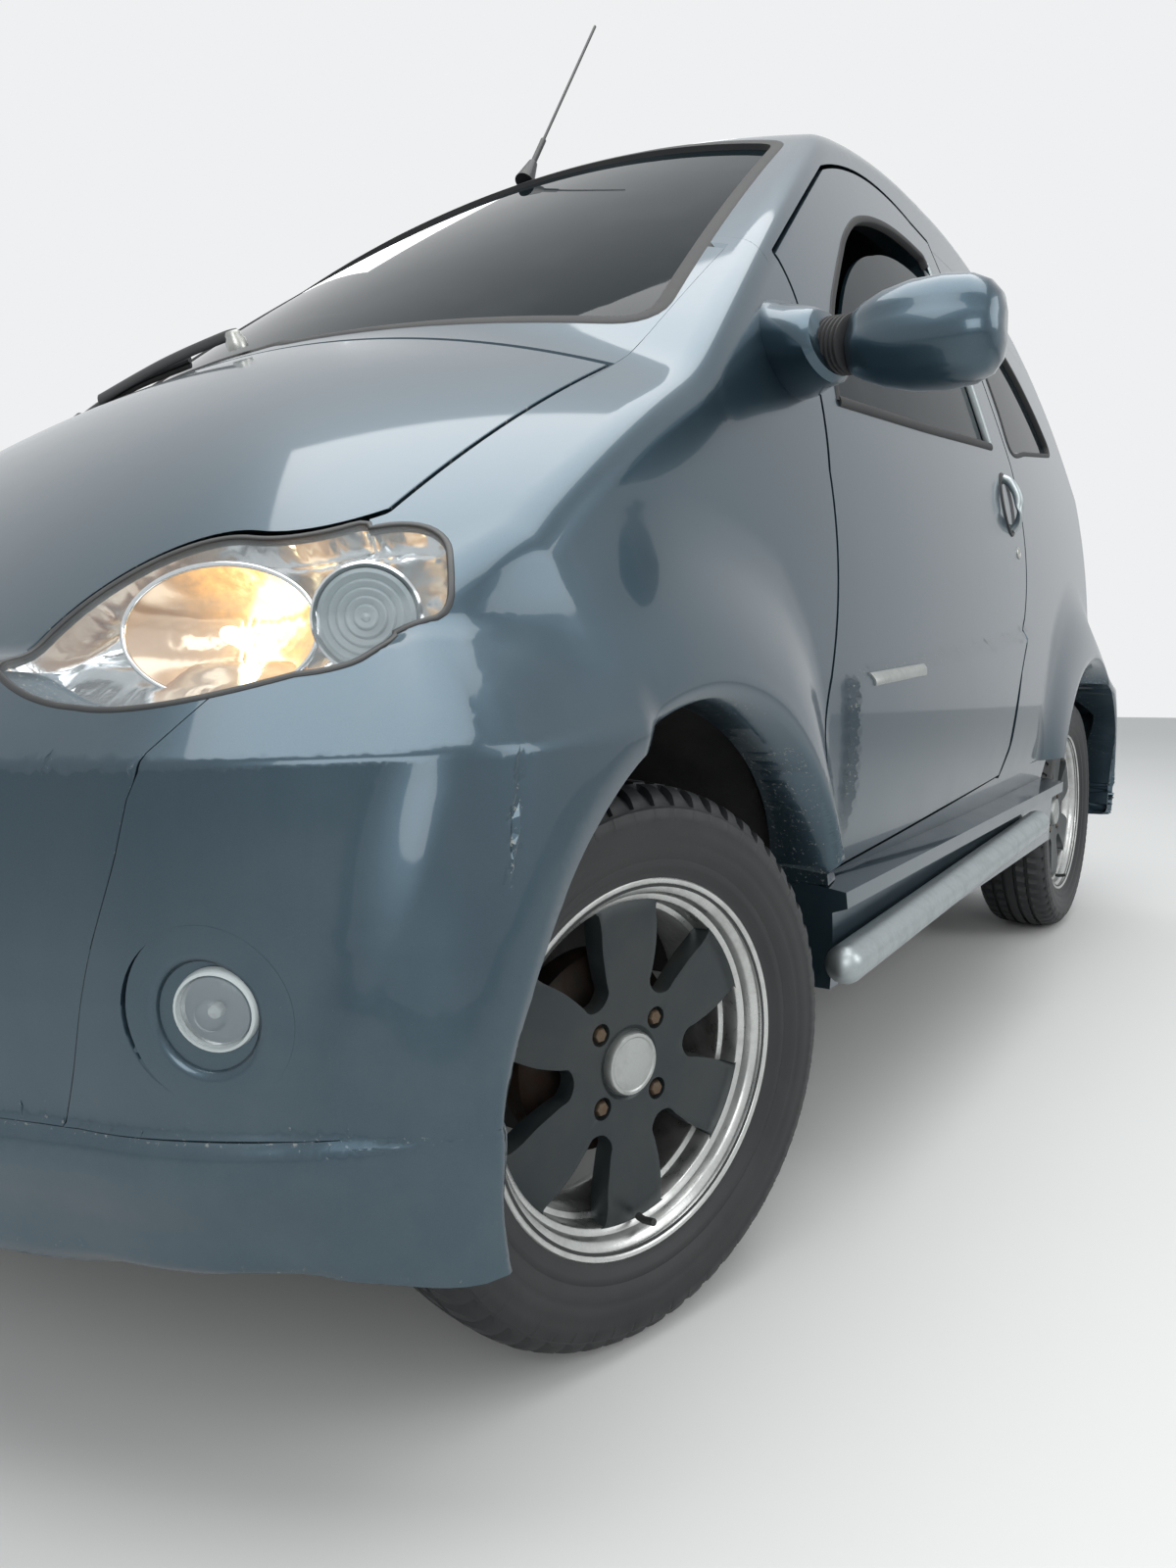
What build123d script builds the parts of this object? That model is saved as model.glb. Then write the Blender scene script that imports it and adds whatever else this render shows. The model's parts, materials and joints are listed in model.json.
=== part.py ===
"""Two-door microcar, full size, in millimetres.

X points to the car's left side, Y to its rear and Z up.  Y = 0 is halfway
along the car and Z = 0 is the floor.  Body outlines give their Y from the
front axle, and station() turns that into a Y of the part.
"""
from build123d import *

import copy
import os
from math import cos, hypot, radians, sin, sqrt

# Overall layout
BODY_LENGTH = 2750
WHEELBASE = 1795
FRONT_OVERHANG = 560
FRONT_AXLE_Y = FRONT_OVERHANG - BODY_LENGTH / 2
REAR_AXLE_Y = FRONT_AXLE_Y + WHEELBASE

# Shell, gaps and glass
WALL = 45
SEAM = 0.5
OPENING_GAP = 6
GLASS_DEPTH = 8
GLASS_THICK = 5
GLASS_FIT = 0.4
EDGE_ROUND = 50

# Wheels and steering
TYRE_RADIUS = 266
TYRE_WIDTH = 150
WHEEL_X = 617
KINGPIN_X = 520
REST_STEER = -14
RIM_RADIUS = 178
STUB_RADIUS = 15
RUNNING_FIT = 0.05

# Wheel arches
ARCH_RADIUS = 315
ARCH_Z = 290
FLARE_X = 735
LINER_RADIUS = 336
WELL_X = 404

# Crowned top: profile on the centre line, revolved about a lengthwise axis
CROWN_Z = -700
CROWN_ANGLE = 46
TOP_START = (-545, 440)
TOP_ARCS = [  # (point passed, end)
    ((-527, 548), (-470, 655)),
    ((-200, 888), (90, 1045)),
    ((390, 1262), (690, 1455)),
    ((935, 1500), (1200, 1512)),
    ((1500, 1487), (1750, 1410)),
    ((1900, 1300), (2010, 1150)),
    ((2105, 985), (2155, 800)),
    ((2182, 620), (2186, 430)),
]

# Barrelled side: section in X and Z, revolved about a far upright axis
BARREL_RADIUS = 25000
BARREL_STATION = 1000
BARREL_ANGLE = 4.2
SIDE_WIDEST = 714
SIDE_START = (650, 225)
SIDE_ARCS = [  # (point passed, end)
    ((700, 400), (714, 600)),
    ((702, 800), (668, 985)),
    ((619, 1165), (560, 1345)),
]

# Plan outlines, left half, from the nose to the tail
NOSE_START = (0, -548)
NOSE_ARCS = [((220, -531), (430, -478)), ((590, -352), (695, -120))]
FLANK_X = 740
FLANK_FROM, FLANK_TO = 150, 1650
TAIL_ARCS = [((668, 1985), (520, 2130)), ((265, 2177), (0, 2190))]

# Bumper bulges round both ends
BUMPER_Z = 225
BUMPER_FRONT_TOP = 652
BUMPER_REAR_TOP = 600
BUMPER_SLOPE = 78
FRONT_BUMPER_START = (0, -560)
FRONT_BUMPER_ARCS = [((250, -540), (480, -478)), ((630, -412), (735, -290))]
REAR_BUMPER_START = (0, 2190)
REAR_BUMPER_ARCS = [((330, 2182), (610, 2160)), ((695, 2130), (735, 2070))]
BUMPER_BACK = 160


def station(y):
    """Y of the part for a distance behind the front axle."""
    return FRONT_AXLE_Y + y


def arc_centre(a, b, c):
    """Centre of the circle through three points."""
    d = 2 * (a[0] * (b[1] - c[1]) + b[0] * (c[1] - a[1]) + c[0] * (a[1] - b[1]))
    squares = [p[0] ** 2 + p[1] ** 2 for p in (a, b, c)]
    u = squares[0] * (b[1] - c[1]) + squares[1] * (c[1] - a[1]) + squares[2] * (a[1] - b[1])
    v = squares[0] * (c[0] - b[0]) + squares[1] * (a[0] - c[0]) + squares[2] * (b[0] - a[0])
    return u / d, v / d


def inset_chain(start, arcs, depth, inside):
    """Move a chain of arcs sideways by depth; inside is 1 for its left, -1 for its right."""
    normals, ends = [], [start]
    for via, end in arcs:
        first = ends[-1]
        cx, cy = arc_centre(first, via, end)
        turn = (via[0] - first[0]) * (end[1] - first[1]) - (via[1] - first[1]) * (end[0] - first[0])
        sign = inside if turn > 0 else -inside
        radius = hypot(first[0] - cx, first[1] - cy)
        normals.append([(sign * (cx - p[0]) / radius, sign * (cy - p[1]) / radius) for p in (first, via, end)])
        ends.append(end)

    def moved(point, normal):
        size = hypot(*normal)
        return point[0] + depth * normal[0] / size, point[1] + depth * normal[1] / size

    new_start = moved(start, normals[0][0])
    new_arcs = []
    for index, (via, end) in enumerate(arcs):
        at_end = normals[index][2]
        if index + 1 < len(arcs):
            following = normals[index + 1][0]
            at_end = (at_end[0] + following[0], at_end[1] + following[1])
        new_arcs.append((moved(via, normals[index][1]), moved(end, at_end)))
    return new_start, new_arcs


def draw_chain(start, arcs):
    """Draw a chain of arcs in the open BuildLine and return its last point."""
    for via, end in arcs:
        ThreePointArc(start, via, end)
        start = end
    return start


def crown(depth):
    """Space under the crowned bonnet, roof and tail, inset by depth."""
    start, arcs = inset_chain(TOP_START, TOP_ARCS, depth, -1)
    angle = radians(CROWN_ANGLE)
    plane = Plane(origin=(0, FRONT_AXLE_Y, CROWN_Z), x_dir=(0, 1, 0), z_dir=(cos(angle), 0, sin(angle)))
    with BuildPart() as piece:
        with BuildSketch(plane):
            with BuildLine():
                lifted = [((a[0], a[1] - CROWN_Z), (b[0], b[1] - CROWN_Z)) for a, b in arcs]
                first = (start[0], start[1] - CROWN_Z)
                last = draw_chain(first, lifted)
                Polyline(last, (last[0], -CROWN_Z * 0.3), (first[0], -CROWN_Z * 0.3), first)
            make_face()
        revolve(axis=Axis((0, 0, CROWN_Z), (0, 1, 0)), revolution_arc=2 * CROWN_ANGLE)
    return piece.part


def flank(depth):
    """Space inboard of the barrelled left side, inset by depth."""
    start, arcs = inset_chain(SIDE_START, SIDE_ARCS, depth, 1)
    centre_x = SIDE_WIDEST - BARREL_RADIUS
    centre = (centre_x, station(BARREL_STATION), 0)
    angle = radians(-BARREL_ANGLE)
    plane = Plane(origin=centre, x_dir=(cos(angle), sin(angle), 0), z_dir=(sin(angle), -cos(angle), 0))
    bottom = SIDE_START[1] + depth
    with BuildPart() as piece:
        with BuildSketch(plane):
            with BuildLine():
                shifted = [((a[0] - centre_x, a[1]), (b[0] - centre_x, b[1])) for a, b in arcs]
                first = (start[0] - centre_x, bottom)
                last = draw_chain(first, shifted)
                far = -900 - centre_x
                Polyline(last, (last[0] - 180, 1700), (far, 1700), (far, bottom), first)
            make_face()
        revolve(axis=Axis(centre, (0, 0, 1)), revolution_arc=2 * BARREL_ANGLE)
    return piece.part


def plan(depth):
    """Upright prism of the body's plan, inset by depth."""
    nose, nose_arcs = inset_chain(NOSE_START, NOSE_ARCS, depth, 1)
    tail_start = (FLANK_X, FLANK_TO)
    tail, tail_arcs = inset_chain(tail_start, TAIL_ARCS, depth, 1)
    with BuildPart() as piece:
        with BuildSketch(Plane((0, FRONT_AXLE_Y, 0))):
            with BuildLine():
                last = draw_chain((0, nose[1]), nose_arcs)
                Polyline(last, (FLANK_X - depth, FLANK_FROM), (FLANK_X - depth, FLANK_TO))
                tail_arcs[-1] = (tail_arcs[-1][0], (0, tail_arcs[-1][1][1]))
                draw_chain((FLANK_X - depth, FLANK_TO), tail_arcs)
                mirror(about=Plane.YZ)
            make_face()
        extrude(amount=1700)
    return piece.part


def bumper_outline(start, arcs, depth, inward, height):
    """Closed plan outline of a bumper at one height, inset by depth."""
    first, chain = inset_chain(start, arcs, depth, inward)
    back = arcs[-1][1][1] + inward * BUMPER_BACK
    with BuildSketch(Plane((0, FRONT_AXLE_Y, height))) as outline:
        with BuildLine():
            last = draw_chain((0, first[1]), chain)
            Polyline(last, (last[0], back), (0, back))
            mirror(about=Plane.YZ)
        make_face()
    return outline.sketch


def bumper(depth, start, arcs, top, inward):
    """Bumper bulge at one end, inset by depth; inward is +1 for the nose and -1 for the tail."""
    ledge = top - BUMPER_SLOPE
    with BuildPart() as piece:
        add(bumper_outline(start, arcs, depth, inward, BUMPER_Z + depth))
        extrude(amount=ledge - depth - BUMPER_Z - depth)
        add(bumper_outline(start, arcs, depth, inward, ledge - depth))
        add(bumper_outline(start, arcs, depth + BUMPER_SLOPE, inward, top - depth))
        loft(ruled=True)
    return piece.part


def body_mass(depth, rounded=False):
    """The whole body as one block, inset by depth."""
    side = flank(depth)
    with BuildPart() as block:
        add(crown(depth))
        add(side, mode=Mode.INTERSECT)
        add(side.mirror(Plane.YZ), mode=Mode.INTERSECT)
        add(plan(depth), mode=Mode.INTERSECT)
        if rounded:
            fillet([e for e in block.edges() if e.center().Z > 560], EDGE_ROUND)
        add(bumper(depth, FRONT_BUMPER_START, FRONT_BUMPER_ARCS, BUMPER_FRONT_TOP, 1))
        add(bumper(depth, REAR_BUMPER_START, REAR_BUMPER_ARCS, BUMPER_REAR_TOP, -1))
    return block.part


# Outlines of the openings, seen from the side: Y from the front axle, then Z
DOOR_START = (345, 384)
DOOR_ARCS = [  # (point passed, end)
    ((311, 500), (337, 618)),
    ((368, 740), (376, 858)),
    ((388, 950), (384, 1040)),
    ((378, 1070), (352, 1106)),
    ((470, 1194), (625, 1304)),
    ((840, 1364), (1050, 1362)),
]
DOOR_REAR = [(1134, 1356), (1285, 985)]
DOOR_REAR_ARCS = [((1290, 850), (1235, 700)), ((1140, 585), (1075, 428))]
WINDOW_START = (439, 950)
WINDOW_ARCS = [((470, 1040), (538, 1126)), ((630, 1216), (765, 1280)), ((900, 1312), (1040, 1310))]
WINDOW_REAR = [(1062, 1298), (1158, 998)]
QUARTER_FRONT = [(1325, 1012), (1212, 1300)]
QUARTER_ARCS = [((1560, 1240), (1752, 1095)), ((1758, 1072), (1735, 1064))]
GLASS_DROP = 54
ROOF_SEAM_Z = 1346
PILLAR_SEAM = 325
TAILGATE_FROM = 1735

# Outlines seen from the front: X, then Z
BONNET_FRONT_Z = 636
BONNET_CORNER = (365, 636)
BONNET_ARCS = [((385, 722), (470, 754)), ((530, 757), (558, 768)), ((575, 880), (590, 1000))]
BONNET_REAR_Y = 60
LAMP_START = (366, 644)
LAMP_ARCS = [((480, 613), (600, 634)), ((640, 655), (650, 690)), ((624, 738), (560, 752)), ((420, 775), (350, 690)),
             ((354, 664), (366, 644))]
NOSE_SEAM = [(565, 655), (565, 629), (534, 525), (489, 394), (468, 331)]
NOSE_BOTTOM = 331
GRILLE_SIZE = (860, 120)
GRILLE_Z = 470
GRILLE_GAP, GRILLE_GAPS = 14, (-33, -11, 11, 33)
TAILGATE_LEFT = [(0, 609), (470, 609), (556, 720), (562, 900), (500, 1330), (470, 1470), (0, 1470)]
TAIL_LAMP_START = (576, 700)
TAIL_LAMP_ARCS = [((640, 692), (700, 730)), ((712, 820), (690, 905)), ((640, 940), (580, 935)), ((586, 820), (576, 700))]
BUMPER_REAR_SEAM = (2012, 603)

# Windscreen and rear glass, on planes laid along them
SCREEN_FOOT, SCREEN_HEAD = (90, 1045), (690, 1455)
SCREEN_CORNERS = [(584, 16), (505, 635)]
REAR_GLASS_HEAD, REAR_GLASS_FOOT = (1800, 1378), (2098, 1000)
REAR_GLASS_CORNERS = [(430, 20), (452, 440)]
CORNER_ROUND = 40

# Flares and sills
FLARE_REACH = 442
FLARE_INNER_X = 660
FLARE_ROOT_X = 702
FLARE_TAPER = [(FLARE_X, 190), (706, 345), (800, 345), (800, 190)]
SILL_FROM, SILL_TO = 235, 1560
COWL_X = 588
SILL_SECTION = [(650, 252), (712, 252), (716, 345), (735, 352), (735, 372), (700, 378), (650, 378)]
SILL_WALL_TOP = [(346, 378), (1075, 421), (1300, 421)]
LIP_BACK = -285
FLOOR_INNER_X = 600

# Cabin and underside
FLOOR_Z, FLOOR_THICK = 232, 30
FLOOR_X = 649.5
RAIL_X, RAIL_WIDTH, RAIL_BOTTOM, RAIL_TOP = 230, 60, 172, 242
RAIL_FROM, RAIL_TO = -430, 1500
REAR_FLOOR_Z, REAR_FLOOR_TO = 322, 2080
LINER_THICK = 6
BULKHEAD_Y, BULKHEAD_THICK, BULKHEAD_TOP = 338, 12, 880
PIVOT_Z = 200
ENGINE_SIZE, ENGINE_Y = (450, 350, 380), -20
SEAT_X, SEAT_Y = 290, 880
SEAT_SIZE = (450, 470)
STEERING_X, STEERING_Y, STEERING_Z, STEERING_TILT = 290, 660, 850, 28
STEERING_RADIUS = 178
DASH_X = 585
DASH_SIDE = [(350.5, 620), (350.5, 886), (205, 886), (215, 945), (470, 962), (566, 925), (580, 800), (500, 640)]

# Tyres and rims: sections as X across the wheel from its middle plane, then radius
TYRE_BEAD = 168.4
TYRE_WALL = 9
RIM_OUTLINE = [(-60, 178), (-56, 178), (-54, 168), (-36, 160), (20, 157), (54, 168), (56, 178), (61, 178), (61, 171),
               (57, 160), (50, 154), (18, 147), (-34, 150), (-54, 158), (-60, 168)]
SPOKES = 6
SPOKE_FACE, SPOKE_DEPTH = 46, 20
WINDOW_INNER, WINDOW_OUTER, WINDOW_FOOT, WINDOW_HALF = 84, 138, 18, 41
LUGS, LUG_CIRCLE, LUG_HOLE = 4, 100, 9
HUB_RADIUS, CAP_RADIUS = 62, 29
BORE_FROM = -40
TREAD_GROOVE, TREAD_GROOVES = 7, (-36, -12, 12, 36)
KNUCKLE_TOP, STRUT_TOP = 545, 690
LINER_X = 640

# Doors' fittings
MIRROR_ROOT, MIRROR_NECK = (640, FRONT_AXLE_Y + 325, 985), (770, FRONT_AXLE_Y + 262, 962)
MIRROR_SECTIONS = [  # (centre, width along the car, height)
    ((752, FRONT_AXLE_Y + 268, 965), 40, 62),
    ((800, FRONT_AXLE_Y + 252, 957), 78, 98),
    ((868, FRONT_AXLE_Y + 244, 951), 84, 108),
    ((914, FRONT_AXLE_Y + 240, 948), 50, 66),
]
TUBE_X, TUBE_RADIUS = 739, 23
TUBE_ENDS = [(292, 292), (1240, 322)]
WIPER_ARM = [(0, 79, 1063), (-40, 82, 1068), (-380, 118, 1052)]
WIPER_BLADE = [(-150, 116, 1070), (-290, 124, 1064), (-380, 128, 1050), (-480, 140, 1034), (-580, 158, 1013)]
ANTENNA_FOOT, ANTENNA_TIP = (0, 699, 1458), (0, 927, 1804)

# Blocks that stay in the gaps and carry a moving panel: centre (X, Y from the front axle, Z), then size
DOOR_HINGES = [((684, 314, 452), (32, 50, 30)), ((684, 316, 575), (32, 50, 30))]
BONNET_RESTS = [((572, -110, 806), (50, 30, 24)), ((577, -20, 862), (50, 30, 24))]
TAILGATE_HINGES = [((-150, 1732, 1385), (30, 14, 24)), ((150, 1732, 1385), (30, 14, 24))]

# Hinge pins in the gaps: centre (X, Y from the front axle, Z), axis, and the web that joins each to the body
PIN_RADIUS, PIN_LENGTH, PIN_FIT = 2.5, 24, 1
DOOR_PINS = [((702, 312, 492), (0, 0, 1)), ((702, 312, 528), (0, 0, 1))]
DOOR_WEB, DOOR_WEB_SIDE = (3, 9, PIN_LENGTH), (0, -4.5, 0)
BONNET_PINS = [((-100, 62, 1024), (1, 0, 0)), ((100, 62, 1024), (1, 0, 0))]
BONNET_WEB, BONNET_WEB_SIDE = (PIN_LENGTH, 6, 3), (0, 3, 0)
TAILGATE_PINS = [((-100, 1735, 1412), (1, 0, 0)), ((100, 1735, 1412), (1, 0, 0))]
TAILGATE_WEB, TAILGATE_WEB_SIDE = (PIN_LENGTH, 8, 3), (0, -4, 0)

# Fog lamps
FOG_PLACE = (590, FRONT_AXLE_Y - 435, 415)
FOG_AXIS = (0.45, -0.89, 0)
FOG_RADIUS = 40


def side_plane(x):
    """Upright lengthwise plane whose local axes are Y from the front axle, and Z."""
    return Plane(origin=(x, FRONT_AXLE_Y, 0), x_dir=(0, 1, 0), z_dir=(1, 0, 0))


def front_plane(y):
    """Upright crosswise plane whose local axes are X and Z."""
    return Plane(origin=(0, station(y), 0), x_dir=(1, 0, 0), z_dir=(0, -1, 0))


def grown(grow):
    """Grow or shrink the sketch that is open."""
    if grow:
        offset(amount=grow)


def door_space(grow=0.0):
    """Space of the left door, seen from the side."""
    with BuildPart() as space:
        with BuildSketch(side_plane(380)):
            with BuildLine():
                last = draw_chain(DOOR_START, DOOR_ARCS)
                Polyline(last, *DOOR_REAR)
                last = draw_chain(DOOR_REAR[-1], DOOR_REAR_ARCS)
                Line(last, DOOR_START)
            make_face()
            grown(grow)
        extrude(amount=420, dir=(1, 0, 0))
    return space.part


def window_space(grow=0.0):
    """Space of the left door's glass."""
    with BuildPart() as space:
        with BuildSketch(side_plane(380)):
            with BuildLine():
                last = draw_chain(WINDOW_START, WINDOW_ARCS)
                Polyline(last, *WINDOW_REAR, WINDOW_START)
            make_face()
            grown(grow)
        extrude(amount=420, dir=(1, 0, 0))
    return space.part


def quarter_space(grow=0.0):
    """Space of the left quarter glass."""
    with BuildPart() as space:
        with BuildSketch(side_plane(380)):
            with BuildLine():
                Line(*QUARTER_FRONT)
                last = draw_chain(QUARTER_FRONT[-1], QUARTER_ARCS)
                Line(last, QUARTER_FRONT[0])
            make_face()
            grown(grow)
        extrude(amount=420, dir=(1, 0, 0))
    return space.part


def bonnet_space(grow=0.0):
    """Space of the bonnet: its front view, cut off behind in plan."""
    with BuildPart() as space:
        with BuildSketch(front_plane(-620)):
            with BuildLine():
                Line((0, BONNET_FRONT_Z), BONNET_CORNER)
                last = draw_chain(BONNET_CORNER, BONNET_ARCS)
                Polyline(last, (last[0], 1200), (0, 1200))
                mirror(about=Plane.YZ)
            make_face()
            grown(grow)
        extrude(amount=900, dir=(0, 1, 0))
        with BuildSketch(Plane((0, FRONT_AXLE_Y, 500))):
            with Locations((0, BONNET_REAR_Y + grow)):
                Rectangle(1800, 900, align=(Align.CENTER, Align.MAX))
        extrude(amount=800, dir=(0, 0, 1), mode=Mode.INTERSECT)
    return space.part


def lamp_space(grow=0.0):
    """Space of the left headlamp, seen from the front."""
    with BuildPart() as space:
        with BuildSketch(front_plane(-620)):
            with BuildLine():
                draw_chain(LAMP_START, LAMP_ARCS)
            make_face()
            grown(grow)
        extrude(amount=480, dir=(0, 1, 0))
    return space.part


def nose_space(grow=0.0):
    """Space of the nose panel between the fenders, seen from the front."""
    with BuildPart() as space:
        with BuildSketch(front_plane(-620)):
            with BuildLine():
                Polyline((0, NOSE_SEAM[0][1]), *NOSE_SEAM, (0, NOSE_BOTTOM))
                mirror(about=Plane.YZ)
            make_face()
            grown(grow)
        extrude(amount=420, dir=(0, 1, 0))
    return space.part


def tailgate_space(grow=0.0):
    """Space of the tailgate, seen from behind."""
    with BuildPart() as space:
        with BuildSketch(front_plane(TAILGATE_FROM - grow)):
            with BuildLine():
                Polyline(*TAILGATE_LEFT)
                mirror(about=Plane.YZ)
            make_face()
            grown(grow)
        extrude(amount=600, dir=(0, 1, 0))
    return space.part


def tail_lamp_space(grow=0.0):
    """Space of the left tail lamp, seen from behind."""
    with BuildPart() as space:
        with BuildSketch(front_plane(1985 - grow)):
            with BuildLine():
                draw_chain(TAIL_LAMP_START, TAIL_LAMP_ARCS)
            make_face()
            grown(grow)
        extrude(amount=300, dir=(0, 1, 0))
    return space.part


def glass_plane(foot, head):
    """Plane laid along a glass from its foot to its head."""
    rise = hypot(head[0] - foot[0], head[1] - foot[1])
    along = ((head[0] - foot[0]) / rise, (head[1] - foot[1]) / rise)
    return Plane(origin=(0, station(foot[0]), foot[1]), x_dir=(1, 0, 0), z_dir=(0, -along[1], along[0]))


def glass_space(foot, head, corners, grow=0.0):
    """Space of the windscreen or rear glass, square to its own plane."""
    plane = glass_plane(foot, head)
    rise = hypot(head[0] - foot[0], head[1] - foot[1])
    (low_x, low_y), (high_x, high_y) = corners
    with BuildPart() as space:
        with BuildSketch(plane.offset(-190)) as outline:
            with BuildLine():
                ThreePointArc((-low_x, low_y), (0, 0), (low_x, low_y))
                Line((low_x, low_y), (high_x, high_y))
                ThreePointArc((high_x, high_y), (0, rise), (-high_x, high_y))
                Line((-high_x, high_y), (-low_x, low_y))
            make_face()
            fillet(outline.vertices(), CORNER_ROUND)
            grown(grow)
        extrude(amount=340, dir=tuple(plane.z_dir))
    return space.part


def side_region(points, x_from=-800, x_to=800):
    """Prism across the car over a side view of straight runs."""
    with BuildPart() as region:
        with BuildSketch(side_plane(x_from)):
            with BuildLine():
                Polyline(*points, points[0])
            make_face()
        extrude(amount=x_to - x_from, dir=(1, 0, 0))
    return region.part


def arch_space(axle):
    """Opening of the left wheel arch."""
    with BuildPart() as space:
        with BuildSketch(side_plane(540)):
            with Locations((axle, ARCH_Z)):
                Circle(ARCH_RADIUS)
        extrude(amount=260, dir=(1, 0, 0))
    return space.part


def well_space(axle):
    """Room that the body leaves round the left wheel-arch liner."""
    with BuildPart() as space:
        with BuildSketch(side_plane(WELL_X - LINER_THICK - SEAM)):
            with Locations((axle, ARCH_Z)):
                Circle(LINER_RADIUS + LINER_THICK + SEAM)
        extrude(amount=LINER_X - WELL_X + LINER_THICK + 2 * SEAM, dir=(1, 0, 0))
    return space.part


def flare(axle):
    """Swollen ring round the left wheel arch."""
    middle = (FLARE_X - 9, (ARCH_RADIUS + FLARE_REACH) / 2)
    with BuildPart() as ring:
        with BuildSketch(Plane(origin=(0, station(axle), ARCH_Z), x_dir=(1, 0, 0), z_dir=(0, -1, 0))):
            with BuildLine():
                Polyline((FLARE_ROOT_X, FLARE_REACH), (FLARE_INNER_X, FLARE_REACH - 20), (FLARE_INNER_X, ARCH_RADIUS - 5),
                         (FLARE_X, ARCH_RADIUS - 5), (FLARE_X, ARCH_RADIUS + 22))
                ThreePointArc((FLARE_X, ARCH_RADIUS + 22), middle, (FLARE_ROOT_X, FLARE_REACH))
            make_face()
        revolve(axis=Axis((0, station(axle), ARCH_Z), (1, 0, 0)))
    return ring.part


OUTER = body_mass(0, rounded=True)
INNER = body_mass(WALL)
with BuildPart() as hull:
    add(OUTER)
    add(INNER, mode=Mode.SUBTRACT)


def shell():
    """Fresh copy of the hollow body, so that no cut can disturb another."""
    return copy.deepcopy(hull.part)

os.makedirs("parts", exist_ok=True)


def save(piece, name):
    """Label a finished piece and write its STEP file."""
    piece.label = name
    export_step(piece, f"parts/{name}.step")


def save_pair(piece, name):
    """Write a left-hand piece and its mirror image."""
    other = piece.mirror(Plane.YZ)
    save(piece, f"{name}_left")
    save(other, f"{name}_right")


def save_both(piece, name):
    """Write a left-hand piece and its mirror image as one node."""
    save(Compound(children=[piece, piece.mirror(Plane.YZ)]), name)


def gap_space(hole, table):
    """Space of an opening less the blocks that reach into its gap."""
    with BuildPart() as space:
        add(hole)
        for (x, y, z), size in table:
            with Locations((x, station(y), z)):
                Box(*size, mode=Mode.SUBTRACT)
    return space.part


def pins(table, web, web_side):
    """Hinge pins on one axis, each on a web to its carrier."""
    with BuildPart() as group:
        for (x, y, z), axis in table:
            with Locations(Plane(origin=(x, station(y), z), z_dir=axis)):
                Cylinder(PIN_RADIUS, PIN_LENGTH)
            with Locations((x + web_side[0], station(y) + web_side[1], z + web_side[2])):
                Box(*web)
    return group.part


def pockets(table):
    """Round pockets in which the pins turn."""
    with BuildPart() as group:
        for (x, y, z), axis in table:
            with Locations(Plane(origin=(x, station(y), z), z_dir=axis)):
                Cylinder(PIN_RADIUS + PIN_FIT, PIN_LENGTH + 2 * SEAM)
    return group.part


DOOR_HOLE = door_space(OPENING_GAP)
DOOR_GAP = gap_space(door_space(OPENING_GAP), DOOR_HINGES)
BONNET_GAP = gap_space(bonnet_space(OPENING_GAP), BONNET_RESTS)
TAILGATE_GAP = gap_space(tailgate_space(OPENING_GAP), TAILGATE_HINGES)
BONNET_HOLE = bonnet_space(OPENING_GAP)
TAILGATE_HOLE = tailgate_space(OPENING_GAP)
SCREEN = glass_space(SCREEN_FOOT, SCREEN_HEAD, SCREEN_CORNERS)
REAR_SCREEN = glass_space(REAR_GLASS_FOOT, REAR_GLASS_HEAD, REAR_GLASS_CORNERS)
NOSE = nose_space(SEAM)
LAMP = lamp_space(SEAM)
TAIL_LAMP = tail_lamp_space(SEAM)
FRONT_ARCH = arch_space(0) + well_space(0)
REAR_ARCH = arch_space(WHEELBASE) + well_space(WHEELBASE)

# Side views of the fixed panels
SILL_TOP = SILL_WALL_TOP[0][1] + SEAM
FENDER_REGION = side_region([(-620, NOSE_BOTTOM + SEAM), (-620, 1300), (PILLAR_SEAM, 1300), (PILLAR_SEAM, 1090),
                             (500, 1090), (500, 700), (345, 400), (345, SILL_TOP), (-290, SILL_TOP),
                             (-290, NOSE_BOTTOM + SEAM)], 300)
QUARTER_BOTTOM = SILL_WALL_TOP[-1][1] + SEAM
QUARTER_REGION = side_region([(1082, QUARTER_BOTTOM), (1200, 700), (1100, 1300), (1100, ROOF_SEAM_Z),
                              (1300, ROOF_SEAM_Z), (TAILGATE_FROM, 1262), (TAILGATE_FROM, 1700), (2250, 1700),
                              (2250, BUMPER_REAR_SEAM[1]), BUMPER_REAR_SEAM, (BUMPER_REAR_SEAM[0], 400),
                              (1700, 400), (1700, QUARTER_BOTTOM)], 300)
ROOF_REGION = side_region([(PILLAR_SEAM + SEAM, 1090), (500, 1090), (760, ROOF_SEAM_Z + SEAM),
                           (1300, ROOF_SEAM_Z + SEAM), (TAILGATE_FROM - SEAM, 1262 + SEAM),
                           (TAILGATE_FROM - SEAM, 1700), (PILLAR_SEAM + SEAM, 1700)])
COWL_REGION = side_region([(20, 820), (20, 1200), (310, 1200), (310, 820)], -COWL_X - SEAM, COWL_X + SEAM)
LIP_REGION = side_region([(-620, 200), (-620, NOSE_BOTTOM), (LIP_BACK, NOSE_BOTTOM), (LIP_BACK, 200)])
BUMPER_REGION = side_region([(BUMPER_REAR_SEAM[0] + SEAM, 200), (BUMPER_REAR_SEAM[0] + SEAM, BUMPER_REAR_SEAM[1] - SEAM),
                             (2250, BUMPER_REAR_SEAM[1] - SEAM), (2250, 200)])

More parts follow.
